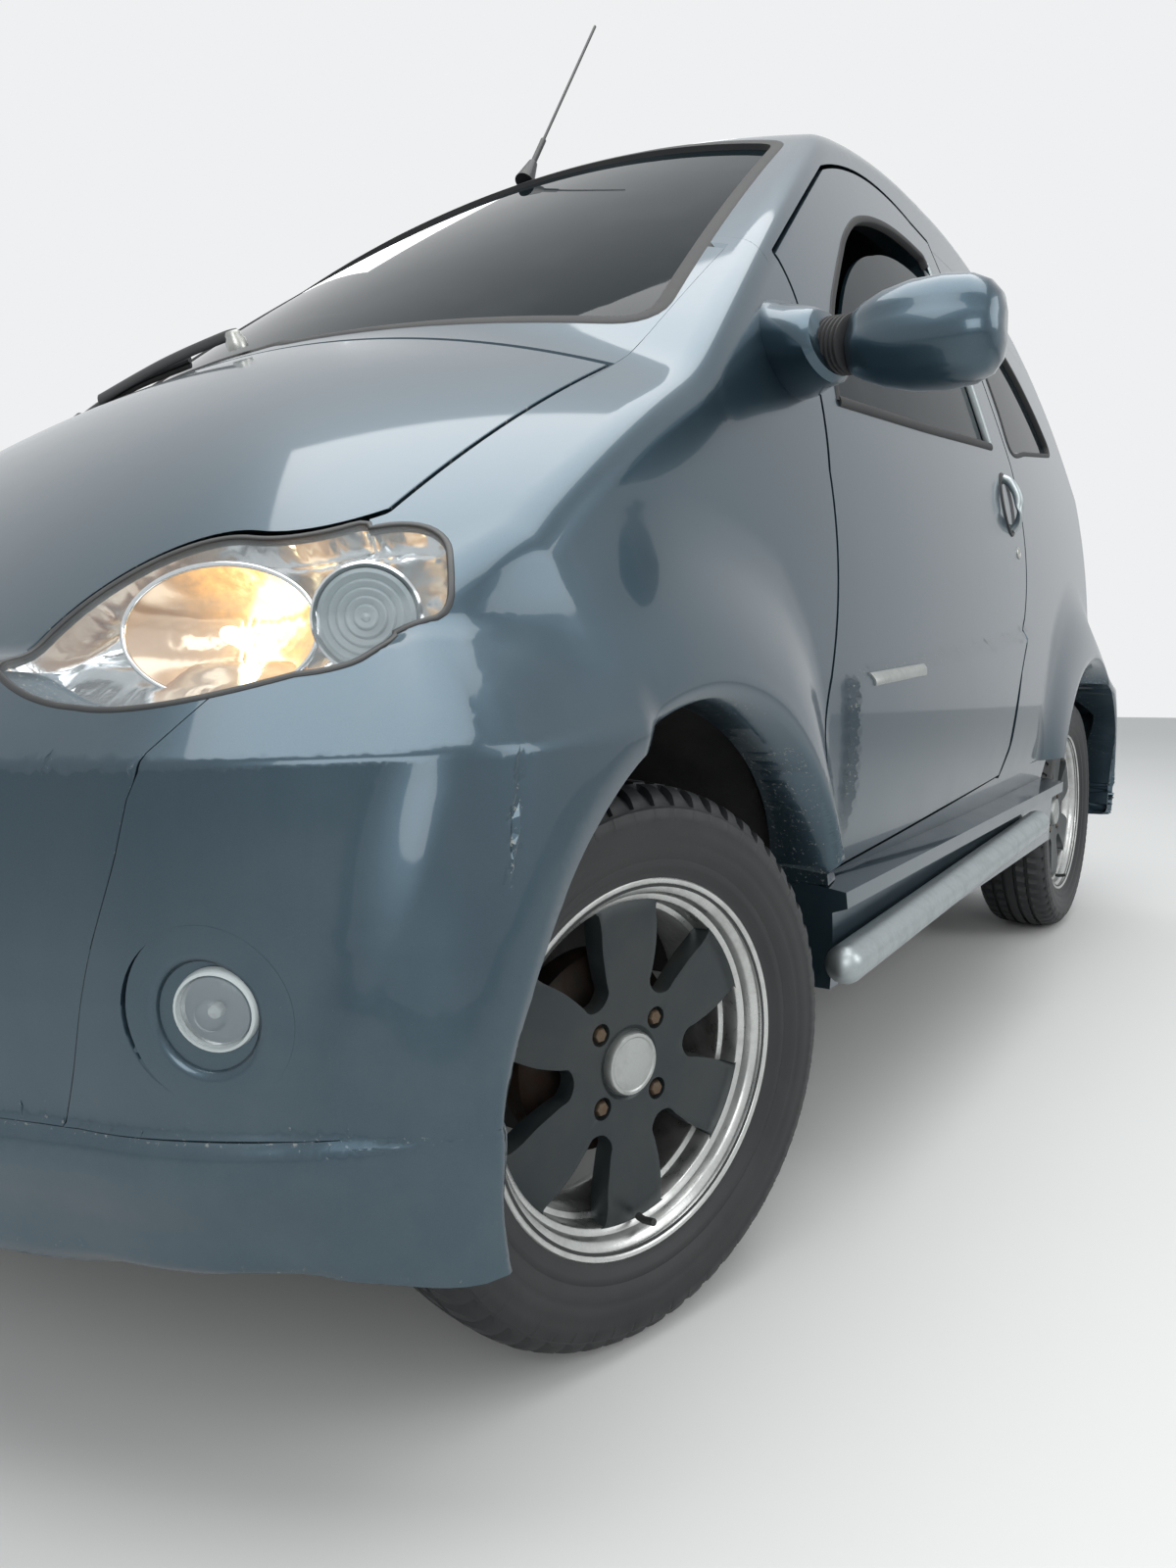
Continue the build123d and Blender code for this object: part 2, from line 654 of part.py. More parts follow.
# Swollen arches, cut to their panels
with BuildPart() as front_flare:
    add(flare(0))
    add(FENDER_REGION, mode=Mode.INTERSECT)
    # thins out towards the door
    with BuildSketch(Plane((0, FRONT_AXLE_Y, 200))):
        with BuildLine():
            Polyline(*FLARE_TAPER, FLARE_TAPER[0])
        make_face()
    extrude(amount=700, mode=Mode.SUBTRACT)
with BuildPart() as rear_flare:
    add(flare(WHEELBASE))
    add(QUARTER_REGION, mode=Mode.INTERSECT)

# Body panels
with BuildPart() as fender:
    add(shell())
    add(FENDER_REGION, mode=Mode.INTERSECT)
    add(front_flare.part)
    for hole in (NOSE, LAMP, door_space(SEAM), DOOR_GAP, bonnet_space(SEAM), BONNET_GAP, SCREEN, FRONT_ARCH, COWL_REGION):
        add(hole, mode=Mode.SUBTRACT)
    # recess for the fog lamp
    with Locations(Plane(origin=FOG_PLACE, z_dir=FOG_AXIS)):
        Cone(FOG_RADIUS + SEAM, FOG_RADIUS + 42, 90, mode=Mode.SUBTRACT)
        Cylinder(FOG_RADIUS + SEAM, 160, mode=Mode.SUBTRACT)
    add(pins(DOOR_PINS, DOOR_WEB, DOOR_WEB_SIDE))
save_pair(fender.part, "fender")

with BuildPart() as nose_panel:
    add(shell())
    add(nose_space(-SEAM), mode=Mode.INTERSECT)
    add(BONNET_HOLE, mode=Mode.SUBTRACT)
    for side in (LAMP, LAMP.mirror(Plane.YZ)):
        add(side, mode=Mode.SUBTRACT)
    with BuildSketch(front_plane(-620)):
        with Locations((0, GRILLE_Z)):
            SlotOverall(*GRILLE_SIZE)
    extrude(amount=400, dir=(0, 1, 0), mode=Mode.SUBTRACT)
save(nose_panel.part, "nose_panel")

with BuildPart() as front_lip:
    add(shell())
    add(LIP_REGION, mode=Mode.INTERSECT)
    for side in (FRONT_ARCH, FRONT_ARCH.mirror(Plane.YZ)):
        add(side, mode=Mode.SUBTRACT)
    with Locations((0, station(LIP_BACK), 230)):
        Box(2 * FLOOR_INNER_X - 100, 300, 82, mode=Mode.SUBTRACT)
save(front_lip.part, "front_lip")

with BuildPart() as bonnet:
    add(shell())
    add(bonnet_space(), mode=Mode.INTERSECT)
    add(pockets(BONNET_PINS), mode=Mode.SUBTRACT)
save(bonnet.part, "bonnet")

with BuildPart() as roof:
    add(shell())
    add(ROOF_REGION, mode=Mode.INTERSECT)
    for hole in (DOOR_HOLE, DOOR_HOLE.mirror(Plane.YZ), SCREEN, tailgate_space(SEAM), TAILGATE_GAP):
        add(hole, mode=Mode.SUBTRACT)
    add(pins(TAILGATE_PINS, TAILGATE_WEB, TAILGATE_WEB_SIDE))
save(roof.part, "roof")

with BuildPart() as quarter:
    add(shell())
    add(QUARTER_REGION, mode=Mode.INTERSECT)
    add(rear_flare.part)
    for hole in (DOOR_HOLE, TAILGATE_HOLE, TAIL_LAMP, quarter_space(), REAR_ARCH):
        add(hole, mode=Mode.SUBTRACT)
save_pair(quarter.part, "quarter")

with BuildPart() as tailgate:
    add(shell())
    add(tailgate_space(), mode=Mode.INTERSECT)
    add(REAR_SCREEN, mode=Mode.SUBTRACT)
    add(pockets(TAILGATE_PINS), mode=Mode.SUBTRACT)
save(tailgate.part, "tailgate")

with BuildPart() as rear_bumper:
    add(shell())
    add(BUMPER_REGION, mode=Mode.INTERSECT)
    for side in (REAR_ARCH, REAR_ARCH.mirror(Plane.YZ)):
        add(side, mode=Mode.SUBTRACT)
    with Locations((0, station(BUMPER_REAR_SEAM[0]), 230)):
        Box(2 * FLOOR_INNER_X - 100, 220, 82, mode=Mode.SUBTRACT)
save(rear_bumper.part, "rear_bumper")

with BuildPart() as door:
    add(shell())
    add(door_space(), mode=Mode.INTERSECT)
    add(window_space(), mode=Mode.SUBTRACT)
    add(pockets(DOOR_PINS), mode=Mode.SUBTRACT)
save_pair(door.part, "door")

with BuildPart() as sill_wall:
    add(shell())
    add(side_region([(346, 370), *SILL_WALL_TOP, (1560, 421), (1560, 370)], 640), mode=Mode.INTERSECT)

with BuildPart() as sill:
    with BuildSketch(front_plane(SILL_FROM)):
        with BuildLine():
            Polyline(*SILL_SECTION, SILL_SECTION[0])
        make_face()
    extrude(amount=SILL_TO - SILL_FROM, dir=(0, 1, 0))
    add(sill_wall.part)
    for arch in (FRONT_ARCH, REAR_ARCH):
        add(arch, mode=Mode.SUBTRACT)
save_both(sill.part, "sills")


def glass_sheet():
    """Thin skin set back from the outside of the body."""
    return copy.deepcopy(glazing.part)


with BuildPart() as glazing:
    add(body_mass(GLASS_DEPTH))
    add(body_mass(GLASS_DEPTH + GLASS_THICK), mode=Mode.SUBTRACT)

with BuildPart() as windscreen:
    add(glass_sheet())
    add(glass_space(SCREEN_FOOT, SCREEN_HEAD, SCREEN_CORNERS, -GLASS_FIT), mode=Mode.INTERSECT)
save(windscreen.part, "windscreen")

with BuildPart() as rear_glass:
    add(glass_sheet())
    add(glass_space(REAR_GLASS_FOOT, REAR_GLASS_HEAD, REAR_GLASS_CORNERS, -GLASS_FIT), mode=Mode.INTERSECT)
save(rear_glass.part, "rear_glass")

with BuildPart() as door_glass:
    add(glass_sheet())
    add(window_space(-GLASS_FIT), mode=Mode.INTERSECT)
with BuildPart() as lowered_glass:
    add(copy.deepcopy(door_glass.part))
    add(window_space(-GLASS_FIT).moved(Location((0, 0, -GLASS_DROP))), mode=Mode.INTERSECT)
save(lowered_glass.part, "door_glass_left")
save(door_glass.part.mirror(Plane.YZ), "door_glass_right")

with BuildPart() as quarter_glass:
    add(glass_sheet())
    add(quarter_space(-GLASS_FIT), mode=Mode.INTERSECT)
save_both(quarter_glass.part, "quarter_glasses")

# Lamps
with BuildPart() as headlamp:
    add(shell())
    add(lamp_space(-SEAM), mode=Mode.INTERSECT)
    add(BONNET_HOLE, mode=Mode.SUBTRACT)
save_pair(headlamp.part, "headlamp")

with BuildPart() as tail_lamp:
    add(shell())
    add(tail_lamp_space(-SEAM), mode=Mode.INTERSECT)
save_both(tail_lamp.part, "tail_lamps")

with BuildPart() as fog_lamp:
    with Locations(Plane(origin=FOG_PLACE, z_dir=FOG_AXIS).offset(-32)):
        Cylinder(FOG_RADIUS, 40)
        with Locations((0, 0, 20)):
            Sphere(FOG_RADIUS - 8)
save_both(fog_lamp.part, "fog_lamps")

with BuildPart() as grille:
    with BuildSketch(front_plane(-552)):
        with Locations((0, GRILLE_Z)):
            SlotOverall(GRILLE_SIZE[0] - 2 * SEAM, GRILLE_SIZE[1] - 2 * SEAM)
            for height in GRILLE_GAPS:
                inner = GRILLE_SIZE[1] / 2 - 17
                reach = GRILLE_SIZE[0] / 2 - 17 - inner + sqrt(inner ** 2 - (abs(height) + GRILLE_GAP / 2) ** 2)
                with Locations((0, height)):
                    Rectangle(2 * reach, GRILLE_GAP, mode=Mode.SUBTRACT)
    extrude(amount=100, dir=(0, 1, 0))
    add(body_mass(6), mode=Mode.INTERSECT)
    add(INNER, mode=Mode.SUBTRACT)
save(grille.part, "grille")


# Wheels: each is made upright at the origin with its axle along X, then placed
with BuildPart() as tyre_form:
    with BuildSketch(Plane.XY):
        half = TYRE_WIDTH / 2
        with BuildLine():
            Polyline((-44, TYRE_BEAD), (-53.4, TYRE_BEAD), (-53.4, 180), (-61, 190))
            ThreePointArc((-61, 190), (-half, 224), (-62, 256))
            ThreePointArc((-62, 256), (0, TYRE_RADIUS), (62, 256))
            ThreePointArc((62, 256), (half, 224), (61, 190))
            Polyline((61, 190), (53.4, 180), (53.4, TYRE_BEAD), (44, TYRE_BEAD), (48, 190))
            ThreePointArc((48, 190), (half - TYRE_WALL, 224), (54, 248))
            ThreePointArc((54, 248), (0, TYRE_RADIUS - 14), (-54, 248))
            ThreePointArc((-54, 248), (TYRE_WALL - half, 224), (-48, 190))
            Line((-48, 190), (-44, TYRE_BEAD))
        make_face()
    revolve(axis=Axis.X)
    for groove in TREAD_GROOVES:
        with BuildSketch(Plane.XY):
            with Locations((groove, TYRE_RADIUS - 2)):
                Rectangle(TREAD_GROOVE, 12)
        revolve(axis=Axis.X, mode=Mode.SUBTRACT)

with BuildSketch() as rim_window:
    with BuildLine():
        Line((WINDOW_INNER, -WINDOW_FOOT), (WINDOW_OUTER, -WINDOW_HALF))
        ThreePointArc((WINDOW_OUTER, -WINDOW_HALF), (WINDOW_OUTER + 8, 0), (WINDOW_OUTER, WINDOW_HALF))
        Line((WINDOW_OUTER, WINDOW_HALF), (WINDOW_INNER, WINDOW_FOOT))
        ThreePointArc((WINDOW_INNER, WINDOW_FOOT), (WINDOW_INNER - WINDOW_FOOT, 0), (WINDOW_INNER, -WINDOW_FOOT))
    make_face()

with BuildPart() as rim_form:
    with BuildSketch(Plane.XY):
        with BuildLine():
            Polyline(*RIM_OUTLINE, RIM_OUTLINE[0])
        make_face()
    revolve(axis=Axis.X)
    with BuildSketch(Plane.XY):
        with BuildLine():
            Polyline((SPOKE_FACE - SPOKE_DEPTH, 0), (SPOKE_FACE - SPOKE_DEPTH - 4, HUB_RADIUS), (18, 156), (52, 156),
                     (SPOKE_FACE + 4, 140), (SPOKE_FACE - 2, HUB_RADIUS), (SPOKE_FACE - 4, 0), (SPOKE_FACE - SPOKE_DEPTH, 0))
        make_face()
    revolve(axis=Axis.X)
    with BuildSketch(Plane.YZ.offset(-20)):
        with PolarLocations(0, SPOKES, start_angle=30):
            add(rim_window.sketch)
    extrude(amount=100, mode=Mode.SUBTRACT)
    with Locations(Plane.YZ.offset(SPOKE_FACE - 14)):
        with PolarLocations(LUG_CIRCLE / 2, LUGS, start_angle=45):
            Cylinder(LUG_HOLE, 30, align=(Align.CENTER, Align.CENTER, Align.MIN), mode=Mode.SUBTRACT)
    with Locations(Plane.YZ.offset(BORE_FROM)):
        Cylinder(40, SPOKE_FACE - SPOKE_DEPTH - BORE_FROM + 2, align=(Align.CENTER, Align.CENTER, Align.MIN))
    with Locations(Plane.YZ.offset(SPOKE_FACE - 8)):
        Cylinder(CAP_RADIUS, 16, align=(Align.CENTER, Align.CENTER, Align.MIN))
    with Locations(Plane.YZ.offset(BORE_FROM)):
        Cylinder(STUB_RADIUS + RUNNING_FIT, SPOKE_FACE - 12 - BORE_FROM,
                 align=(Align.CENTER, Align.CENTER, Align.MIN), mode=Mode.SUBTRACT)

with BuildPart() as knuckle_form:
    # upright on the kingpin, with the stub axle reaching into the hub
    with Locations((KINGPIN_X - WHEEL_X, 0, PIVOT_Z + SEAM - TYRE_RADIUS)):
        Cylinder(17, KNUCKLE_TOP - PIVOT_Z - SEAM, align=(Align.CENTER, Align.CENTER, Align.MIN))
    with Locations((KINGPIN_X - WHEEL_X, 0, 0)):
        Box(46, 60, 84)
    with Locations(Plane.YZ.offset(KINGPIN_X - WHEEL_X)):
        Cylinder(26, BORE_FROM - 1 - KINGPIN_X + WHEEL_X, align=(Align.CENTER, Align.CENTER, Align.MIN))
        Cylinder(STUB_RADIUS, WHEEL_X - KINGPIN_X + SPOKE_FACE - 20, align=(Align.CENTER, Align.CENTER, Align.MIN))
    # steering arm
    with Locations((KINGPIN_X - WHEEL_X - 5, 60, -20)):
        Box(22, 110, 18)

FRONT_HUB = (WHEEL_X, FRONT_AXLE_Y, TYRE_RADIUS)


def front_place(form, side):
    """Put a wheel or knuckle on the front axle, turned about its kingpin; side is 1 for the left."""
    placed = Location((WHEEL_X, FRONT_AXLE_Y, TYRE_RADIUS)) * form
    if side < 0:
        placed = placed.mirror(Plane.YZ)
    kingpin = Axis((side * KINGPIN_X, FRONT_AXLE_Y, 0), (0, 0, 1))
    return placed.rotate(kingpin, REST_STEER)


def rear_place(form, side):
    """Put a wheel on the rear axle; side is 1 for the left."""
    placed = Location((WHEEL_X, REAR_AXLE_Y, TYRE_RADIUS)) * form
    return placed if side > 0 else placed.mirror(Plane.YZ)


for word, side in (("left", 1), ("right", -1)):
    save(front_place(tyre_form.part, side), f"tyre_front_{word}")
    save(front_place(rim_form.part, side), f"rim_front_{word}")
    save(front_place(knuckle_form.part, side), f"knuckle_{word}")
    save(rear_place(tyre_form.part, side), f"tyre_rear_{word}")
    save(rear_place(rim_form.part, side), f"rim_rear_{word}")

with BuildPart() as rear_axle:
    with Locations(Plane(origin=(0, REAR_AXLE_Y, TYRE_RADIUS), z_dir=(1, 0, 0))):
        Cylinder(STUB_RADIUS, 2 * (WHEEL_X + SPOKE_FACE - 20))
        Cylinder(30, 2 * (WHEEL_X + BORE_FROM - 1))
    for side in (-1, 1):
        # trailing arm in line with the frame rail, and the spring that the floor rests on
        with Locations((side * RAIL_X, station(RAIL_TO + SEAM), TYRE_RADIUS - 50)):
            Box(50, WHEELBASE - RAIL_TO, 50, align=(Align.CENTER, Align.MIN, Align.MIN))
        with Locations((side * 330, REAR_AXLE_Y, TYRE_RADIUS)):
            Cylinder(38, REAR_FLOOR_Z - SEAM - TYRE_RADIUS, align=(Align.CENTER, Align.CENTER, Align.MIN))
save(rear_axle.part, "rear_axle")

with BuildPart() as front_suspension:
    with Locations((0, FRONT_AXLE_Y, RAIL_BOTTOM - SEAM - 15)):
        Box(690, 70, 30)
    for side in (-1, 1):
        with Locations((side * 435, FRONT_AXLE_Y, PIVOT_Z - 20)):
            Box(200, 46, 40)
        with Locations((side * KINGPIN_X, FRONT_AXLE_Y, PIVOT_Z - 20)):
            Cylinder(24, 40)
        with Locations((side * KINGPIN_X, FRONT_AXLE_Y, KNUCKLE_TOP + SEAM)):
            Cylinder(15, STRUT_TOP - KNUCKLE_TOP - 2 * SEAM, align=(Align.CENTER, Align.CENTER, Align.MIN))
        # coil spring, as the tube that its turns fill
        with Locations((side * KINGPIN_X, FRONT_AXLE_Y, KNUCKLE_TOP + 12)):
            Cylinder(42, STRUT_TOP - KNUCKLE_TOP - 24, align=(Align.CENTER, Align.CENTER, Align.MIN))
save(front_suspension.part, "front_suspension")

with BuildPart() as chassis:
    middle = (BULKHEAD_Y + WHEELBASE - LINER_RADIUS) / 2
    with Locations((0, station(middle), FLOOR_Z)):
        Box(2 * FLOOR_X, WHEELBASE - LINER_RADIUS - BULKHEAD_Y, FLOOR_THICK,
            align=(Align.CENTER, Align.CENTER, Align.MIN))
    with Locations((0, station(WHEELBASE - LINER_RADIUS), 0)):
        with Locations((0, 0, REAR_FLOOR_Z)):
            Box(2 * WELL_X, REAR_FLOOR_TO - WHEELBASE + LINER_RADIUS, FLOOR_THICK,
                align=(Align.CENTER, Align.MIN, Align.MIN))
        with Locations((0, -2, FLOOR_Z)):
            Box(2 * WELL_X, 12, REAR_FLOOR_Z + FLOOR_THICK - FLOOR_Z, align=(Align.CENTER, Align.MIN, Align.MIN))
    for side in (-1, 1):
        with Locations((side * RAIL_X, station((RAIL_FROM + RAIL_TO) / 2), RAIL_BOTTOM)):
            Box(RAIL_WIDTH, RAIL_TO - RAIL_FROM, RAIL_TOP - RAIL_BOTTOM,
                align=(Align.CENTER, Align.CENTER, Align.MIN))
        for axle in (0, WHEELBASE):
            inner = Plane(origin=(side * WELL_X, station(axle), ARCH_Z), x_dir=(0, side, 0), z_dir=(side, 0, 0))
            with BuildSketch(inner.offset(-LINER_THICK)):
                with BuildLine():
                    reach = LINER_RADIUS + LINER_THICK
                    drop = FLOOR_Z - ARCH_Z
                    edge = sqrt(reach ** 2 - drop ** 2)
                    ThreePointArc((-edge, drop), (0, reach), (edge, drop))
                    Line((edge, drop), (-edge, drop))
                make_face()
            extrude(amount=LINER_X - WELL_X + LINER_THICK)
            with BuildSketch(inner):
                with BuildLine():
                    edge = sqrt(LINER_RADIUS ** 2 - (drop - 1) ** 2)
                    ThreePointArc((-edge, drop - 1), (0, LINER_RADIUS), (edge, drop - 1))
                    Line((edge, drop - 1), (-edge, drop - 1))
                make_face()
            extrude(amount=LINER_X - WELL_X, mode=Mode.SUBTRACT)
        # strut tower
        with Locations((side * (WELL_X - LINER_THICK / 2), FRONT_AXLE_Y, 600)):
            Box(LINER_THICK, 130, STRUT_TOP + 8 - 600, align=(Align.CENTER, Align.CENTER, Align.MIN))
        with Locations((side * (WELL_X + 90), FRONT_AXLE_Y, STRUT_TOP)):
            Box(192, 130, 8, align=(Align.CENTER, Align.CENTER, Align.MIN))
        with Locations((side * KINGPIN_X, FRONT_AXLE_Y, 560)):
            Cylinder(50, 120, align=(Align.CENTER, Align.CENTER, Align.MIN), mode=Mode.SUBTRACT)
    with Locations(Plane(origin=(0, REAR_AXLE_Y, TYRE_RADIUS), z_dir=(1, 0, 0))):
        Cylinder(40, 2 * LINER_X, mode=Mode.SUBTRACT)
    with Locations((0, station(-LINER_RADIUS), (RAIL_TOP + RAIL_BOTTOM) / 2 + 12)):
        Box(2 * WELL_X, 24, 70)
    with Locations((0, station(BULKHEAD_Y), FLOOR_Z)):
        Box(2 * FLOOR_INNER_X, BULKHEAD_THICK, BULKHEAD_TOP - FLOOR_Z,
            align=(Align.CENTER, Align.MIN, Align.MIN))
save(chassis.part, "chassis")

with BuildPart() as engine:
    with Locations((0, station(ENGINE_Y), RAIL_TOP + SEAM)):
        Box(*ENGINE_SIZE, align=(Align.CENTER, Align.CENTER, Align.MIN))
save(engine.part, "engine")

# Cabin
with BuildPart() as dashboard:
    with BuildSketch(side_plane(-DASH_X)):
        with BuildLine():
            Polyline(*DASH_SIDE, DASH_SIDE[0])
        make_face()
    extrude(amount=2 * DASH_X, dir=(1, 0, 0))
    fillet(dashboard.edges().filter_by(Axis.X).group_by(Axis.Y)[-1], 18)
save(dashboard.part, "dashboard")

with BuildPart() as seats:
    for side in (-1, 1):
        place = (side * SEAT_X, station(SEAT_Y), FLOOR_Z + FLOOR_THICK + SEAM)
        with BuildSketch(Plane(origin=(place[0] - SEAT_SIZE[0] / 2, place[1], place[2]), x_dir=(0, 1, 0),
                               z_dir=(1, 0, 0))):
            with BuildLine():
                # runners, cushion and leaning back, in one side view
                Polyline((-170, 0), (190, 0), (215, 130), (350, 700), (300, 745), (225, 700), (120, 262), (-225, 270),
                         (-250, 230), (-235, 140), (-170, 0))
            make_face()
        extrude(amount=SEAT_SIZE[0])
    fillet(seats.edges().filter_by(Axis.X), 14)
save(seats.part, "seats")

with BuildPart() as steering_wheel:
    hub = Plane(origin=(STEERING_X, station(STEERING_Y), STEERING_Z),
                z_dir=(0, cos(radians(STEERING_TILT)), sin(radians(STEERING_TILT))))
    with Locations(hub):
        Torus(STEERING_RADIUS, 14)
        Cylinder(44, 40)
        Cylinder(22, 118, align=(Align.CENTER, Align.CENTER, Align.MAX))
    with BuildSketch(hub.offset(-7)):
        for angle in (0, 180, 270):
            with PolarLocations(STEERING_RADIUS / 2, 1, start_angle=angle):
                Rectangle(STEERING_RADIUS, 34)
    extrude(amount=14)
    add(dashboard.part, mode=Mode.SUBTRACT)
save(steering_wheel.part, "steering_wheel")

# Mirrors: foot on the door, ribbed neck and shell
with BuildPart() as mirror_piece:
    neck_from, neck_to = Vector(*MIRROR_ROOT), Vector(*MIRROR_NECK)
    neck = Plane(origin=neck_from, z_dir=neck_to - neck_from)
    with Locations(neck):
        Cylinder(46, 42, align=(Align.CENTER, Align.CENTER, Align.MIN))
    with Locations(neck.offset(30)):
        Cylinder(30, (neck_to - neck_from).length - 20, align=(Align.CENTER, Align.CENTER, Align.MIN))
    add(body_mass(0), mode=Mode.SUBTRACT)
    for place, width, height in MIRROR_SECTIONS:
        with BuildSketch(Plane(origin=place, x_dir=(0, 1, 0), z_dir=(1, 0, 0))):
            Ellipse(width / 2, height / 2)
    loft()
save_pair(mirror_piece.part, "mirror")

with BuildPart() as side_tubes:
    for side in (-1, 1):
        (y0, z0), (y1, z1) = TUBE_ENDS
        first, last = Vector(side * TUBE_X, station(y0), z0), Vector(side * TUBE_X, station(y1), z1)
        run = Plane(origin=first, z_dir=last - first)
        with Locations(run):
            Cylinder(TUBE_RADIUS, (last - first).length, align=(Align.CENTER, Align.CENTER, Align.MIN))
        for share in (0.12, 0.5, 0.88):
            at = first + (last - first) * share
            lean = (SILL_SECTION[2][0] - SILL_SECTION[1][0]) / (SILL_SECTION[2][1] - SILL_SECTION[1][1])
            sill_x = SILL_SECTION[1][0] + lean * (at.Z + 5 - SILL_SECTION[1][1])
            with Locations((side * (sill_x + 16 + SEAM), at.Y, at.Z - 4)):
                Box(32, 40, 18)
        for end in (first, last):
            with Locations(tuple(end)):
                Sphere(TUBE_RADIUS)
save(side_tubes.part, "side_tubes")

with BuildPart() as cowl:
    add(shell())
    add(side_region([(20, 820), (20, 1200), (300, 1200), (300, 820)], -COWL_X, COWL_X), mode=Mode.INTERSECT)
    for hole in (BONNET_HOLE, SCREEN):
        add(hole, mode=Mode.SUBTRACT)
    add(pins(BONNET_PINS, BONNET_WEB, BONNET_WEB_SIDE))
save(cowl.part, "cowl")

with BuildPart() as wiper:
    with Locations((WIPER_ARM[0][0], station(WIPER_ARM[0][1]), WIPER_ARM[0][2] - 9)):
        Cylinder(9, 26)
    for line, radius in ((WIPER_ARM, 6), (WIPER_BLADE, 5)):
        places = [Vector(x, station(y), z) for x, y, z in line]
        for first, last in zip(places, places[1:]):
            with Locations(Plane(origin=first, z_dir=last - first)):
                Cylinder(radius, (last - first).length, align=(Align.CENTER, Align.CENTER, Align.MIN))
        for place in places:
            with Locations(tuple(place)):
                Sphere(radius)
    add(copy.deepcopy(cowl.part), mode=Mode.SUBTRACT)
save(wiper.part, "wiper")

with BuildPart() as antenna:
    foot, tip = Vector(0, station(ANTENNA_FOOT[1]), ANTENNA_FOOT[2]), Vector(0, station(ANTENNA_TIP[1]), ANTENNA_TIP[2])
    with Locations(Plane(origin=foot, z_dir=tip - foot)):
        Cone(17, 8, 46, align=(Align.CENTER, Align.CENTER, Align.MIN))
        Cylinder(5, 105, align=(Align.CENTER, Align.CENTER, Align.MIN))
        Cylinder(2.5, (tip - foot).length, align=(Align.CENTER, Align.CENTER, Align.MIN))
    add(body_mass(0), mode=Mode.SUBTRACT)
save(antenna.part, "antenna")

for piece in (fender, nose_panel, front_lip, bonnet, roof, quarter, tailgate, rear_bumper, door, sill, windscreen,
              rear_glass, door_glass, quarter_glass, headlamp, tail_lamp, fog_lamp, grille, tyre_form, rim_form,
              knuckle_form, rear_axle, front_suspension, chassis, engine, dashboard, seats, steering_wheel,
              mirror_piece, side_tubes, cowl, wiper, antenna):
    print(piece.part.label, piece.part.is_valid, [round(solid.volume / 1e6, 3) for solid in piece.solids()])
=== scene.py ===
"""Two-door microcar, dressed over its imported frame.

Lengths are metres.  X points to the car's left side, Y to its rear and Z up.
Body outlines are written in millimetres with Y counted from the front axle,
as the makers of the panels drew them, and Form turns them into the frame.
"""

import json
import logging
import math
from dataclasses import dataclass, field
from enum import Enum
from typing import Callable, Iterable, Optional, Sequence

import bmesh
import bpy
import numpy as np
from mathutils import Matrix, Vector

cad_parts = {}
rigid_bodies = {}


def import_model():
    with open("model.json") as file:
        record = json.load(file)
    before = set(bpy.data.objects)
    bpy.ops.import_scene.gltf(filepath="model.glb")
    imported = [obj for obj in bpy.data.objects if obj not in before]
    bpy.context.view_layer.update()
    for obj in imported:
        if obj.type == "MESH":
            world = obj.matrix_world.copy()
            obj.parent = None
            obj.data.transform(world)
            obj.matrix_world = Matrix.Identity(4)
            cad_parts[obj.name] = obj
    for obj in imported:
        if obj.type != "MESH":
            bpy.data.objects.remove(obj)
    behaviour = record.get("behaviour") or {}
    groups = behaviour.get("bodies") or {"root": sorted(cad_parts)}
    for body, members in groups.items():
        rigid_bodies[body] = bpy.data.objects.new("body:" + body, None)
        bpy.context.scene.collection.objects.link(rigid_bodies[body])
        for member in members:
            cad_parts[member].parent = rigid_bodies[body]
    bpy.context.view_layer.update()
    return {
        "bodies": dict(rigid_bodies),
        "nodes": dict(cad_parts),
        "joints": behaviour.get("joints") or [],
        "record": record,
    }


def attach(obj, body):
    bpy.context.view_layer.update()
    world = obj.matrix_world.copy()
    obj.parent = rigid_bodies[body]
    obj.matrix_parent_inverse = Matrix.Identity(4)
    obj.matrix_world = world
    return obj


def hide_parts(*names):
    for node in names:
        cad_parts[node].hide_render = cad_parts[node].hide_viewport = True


log = logging.getLogger("microcar")

MM = 0.001
AXLE_Y = -0.815
WHEELBASE = 1.795
SIDES = (1, -1)

Point = Sequence[float]
Points = Sequence[Point]
Color = tuple[float, float, float, float]


def side_name(side: int) -> str:
    """Word for the left (1) or right (-1) side of the car."""
    return "left" if side > 0 else "right"


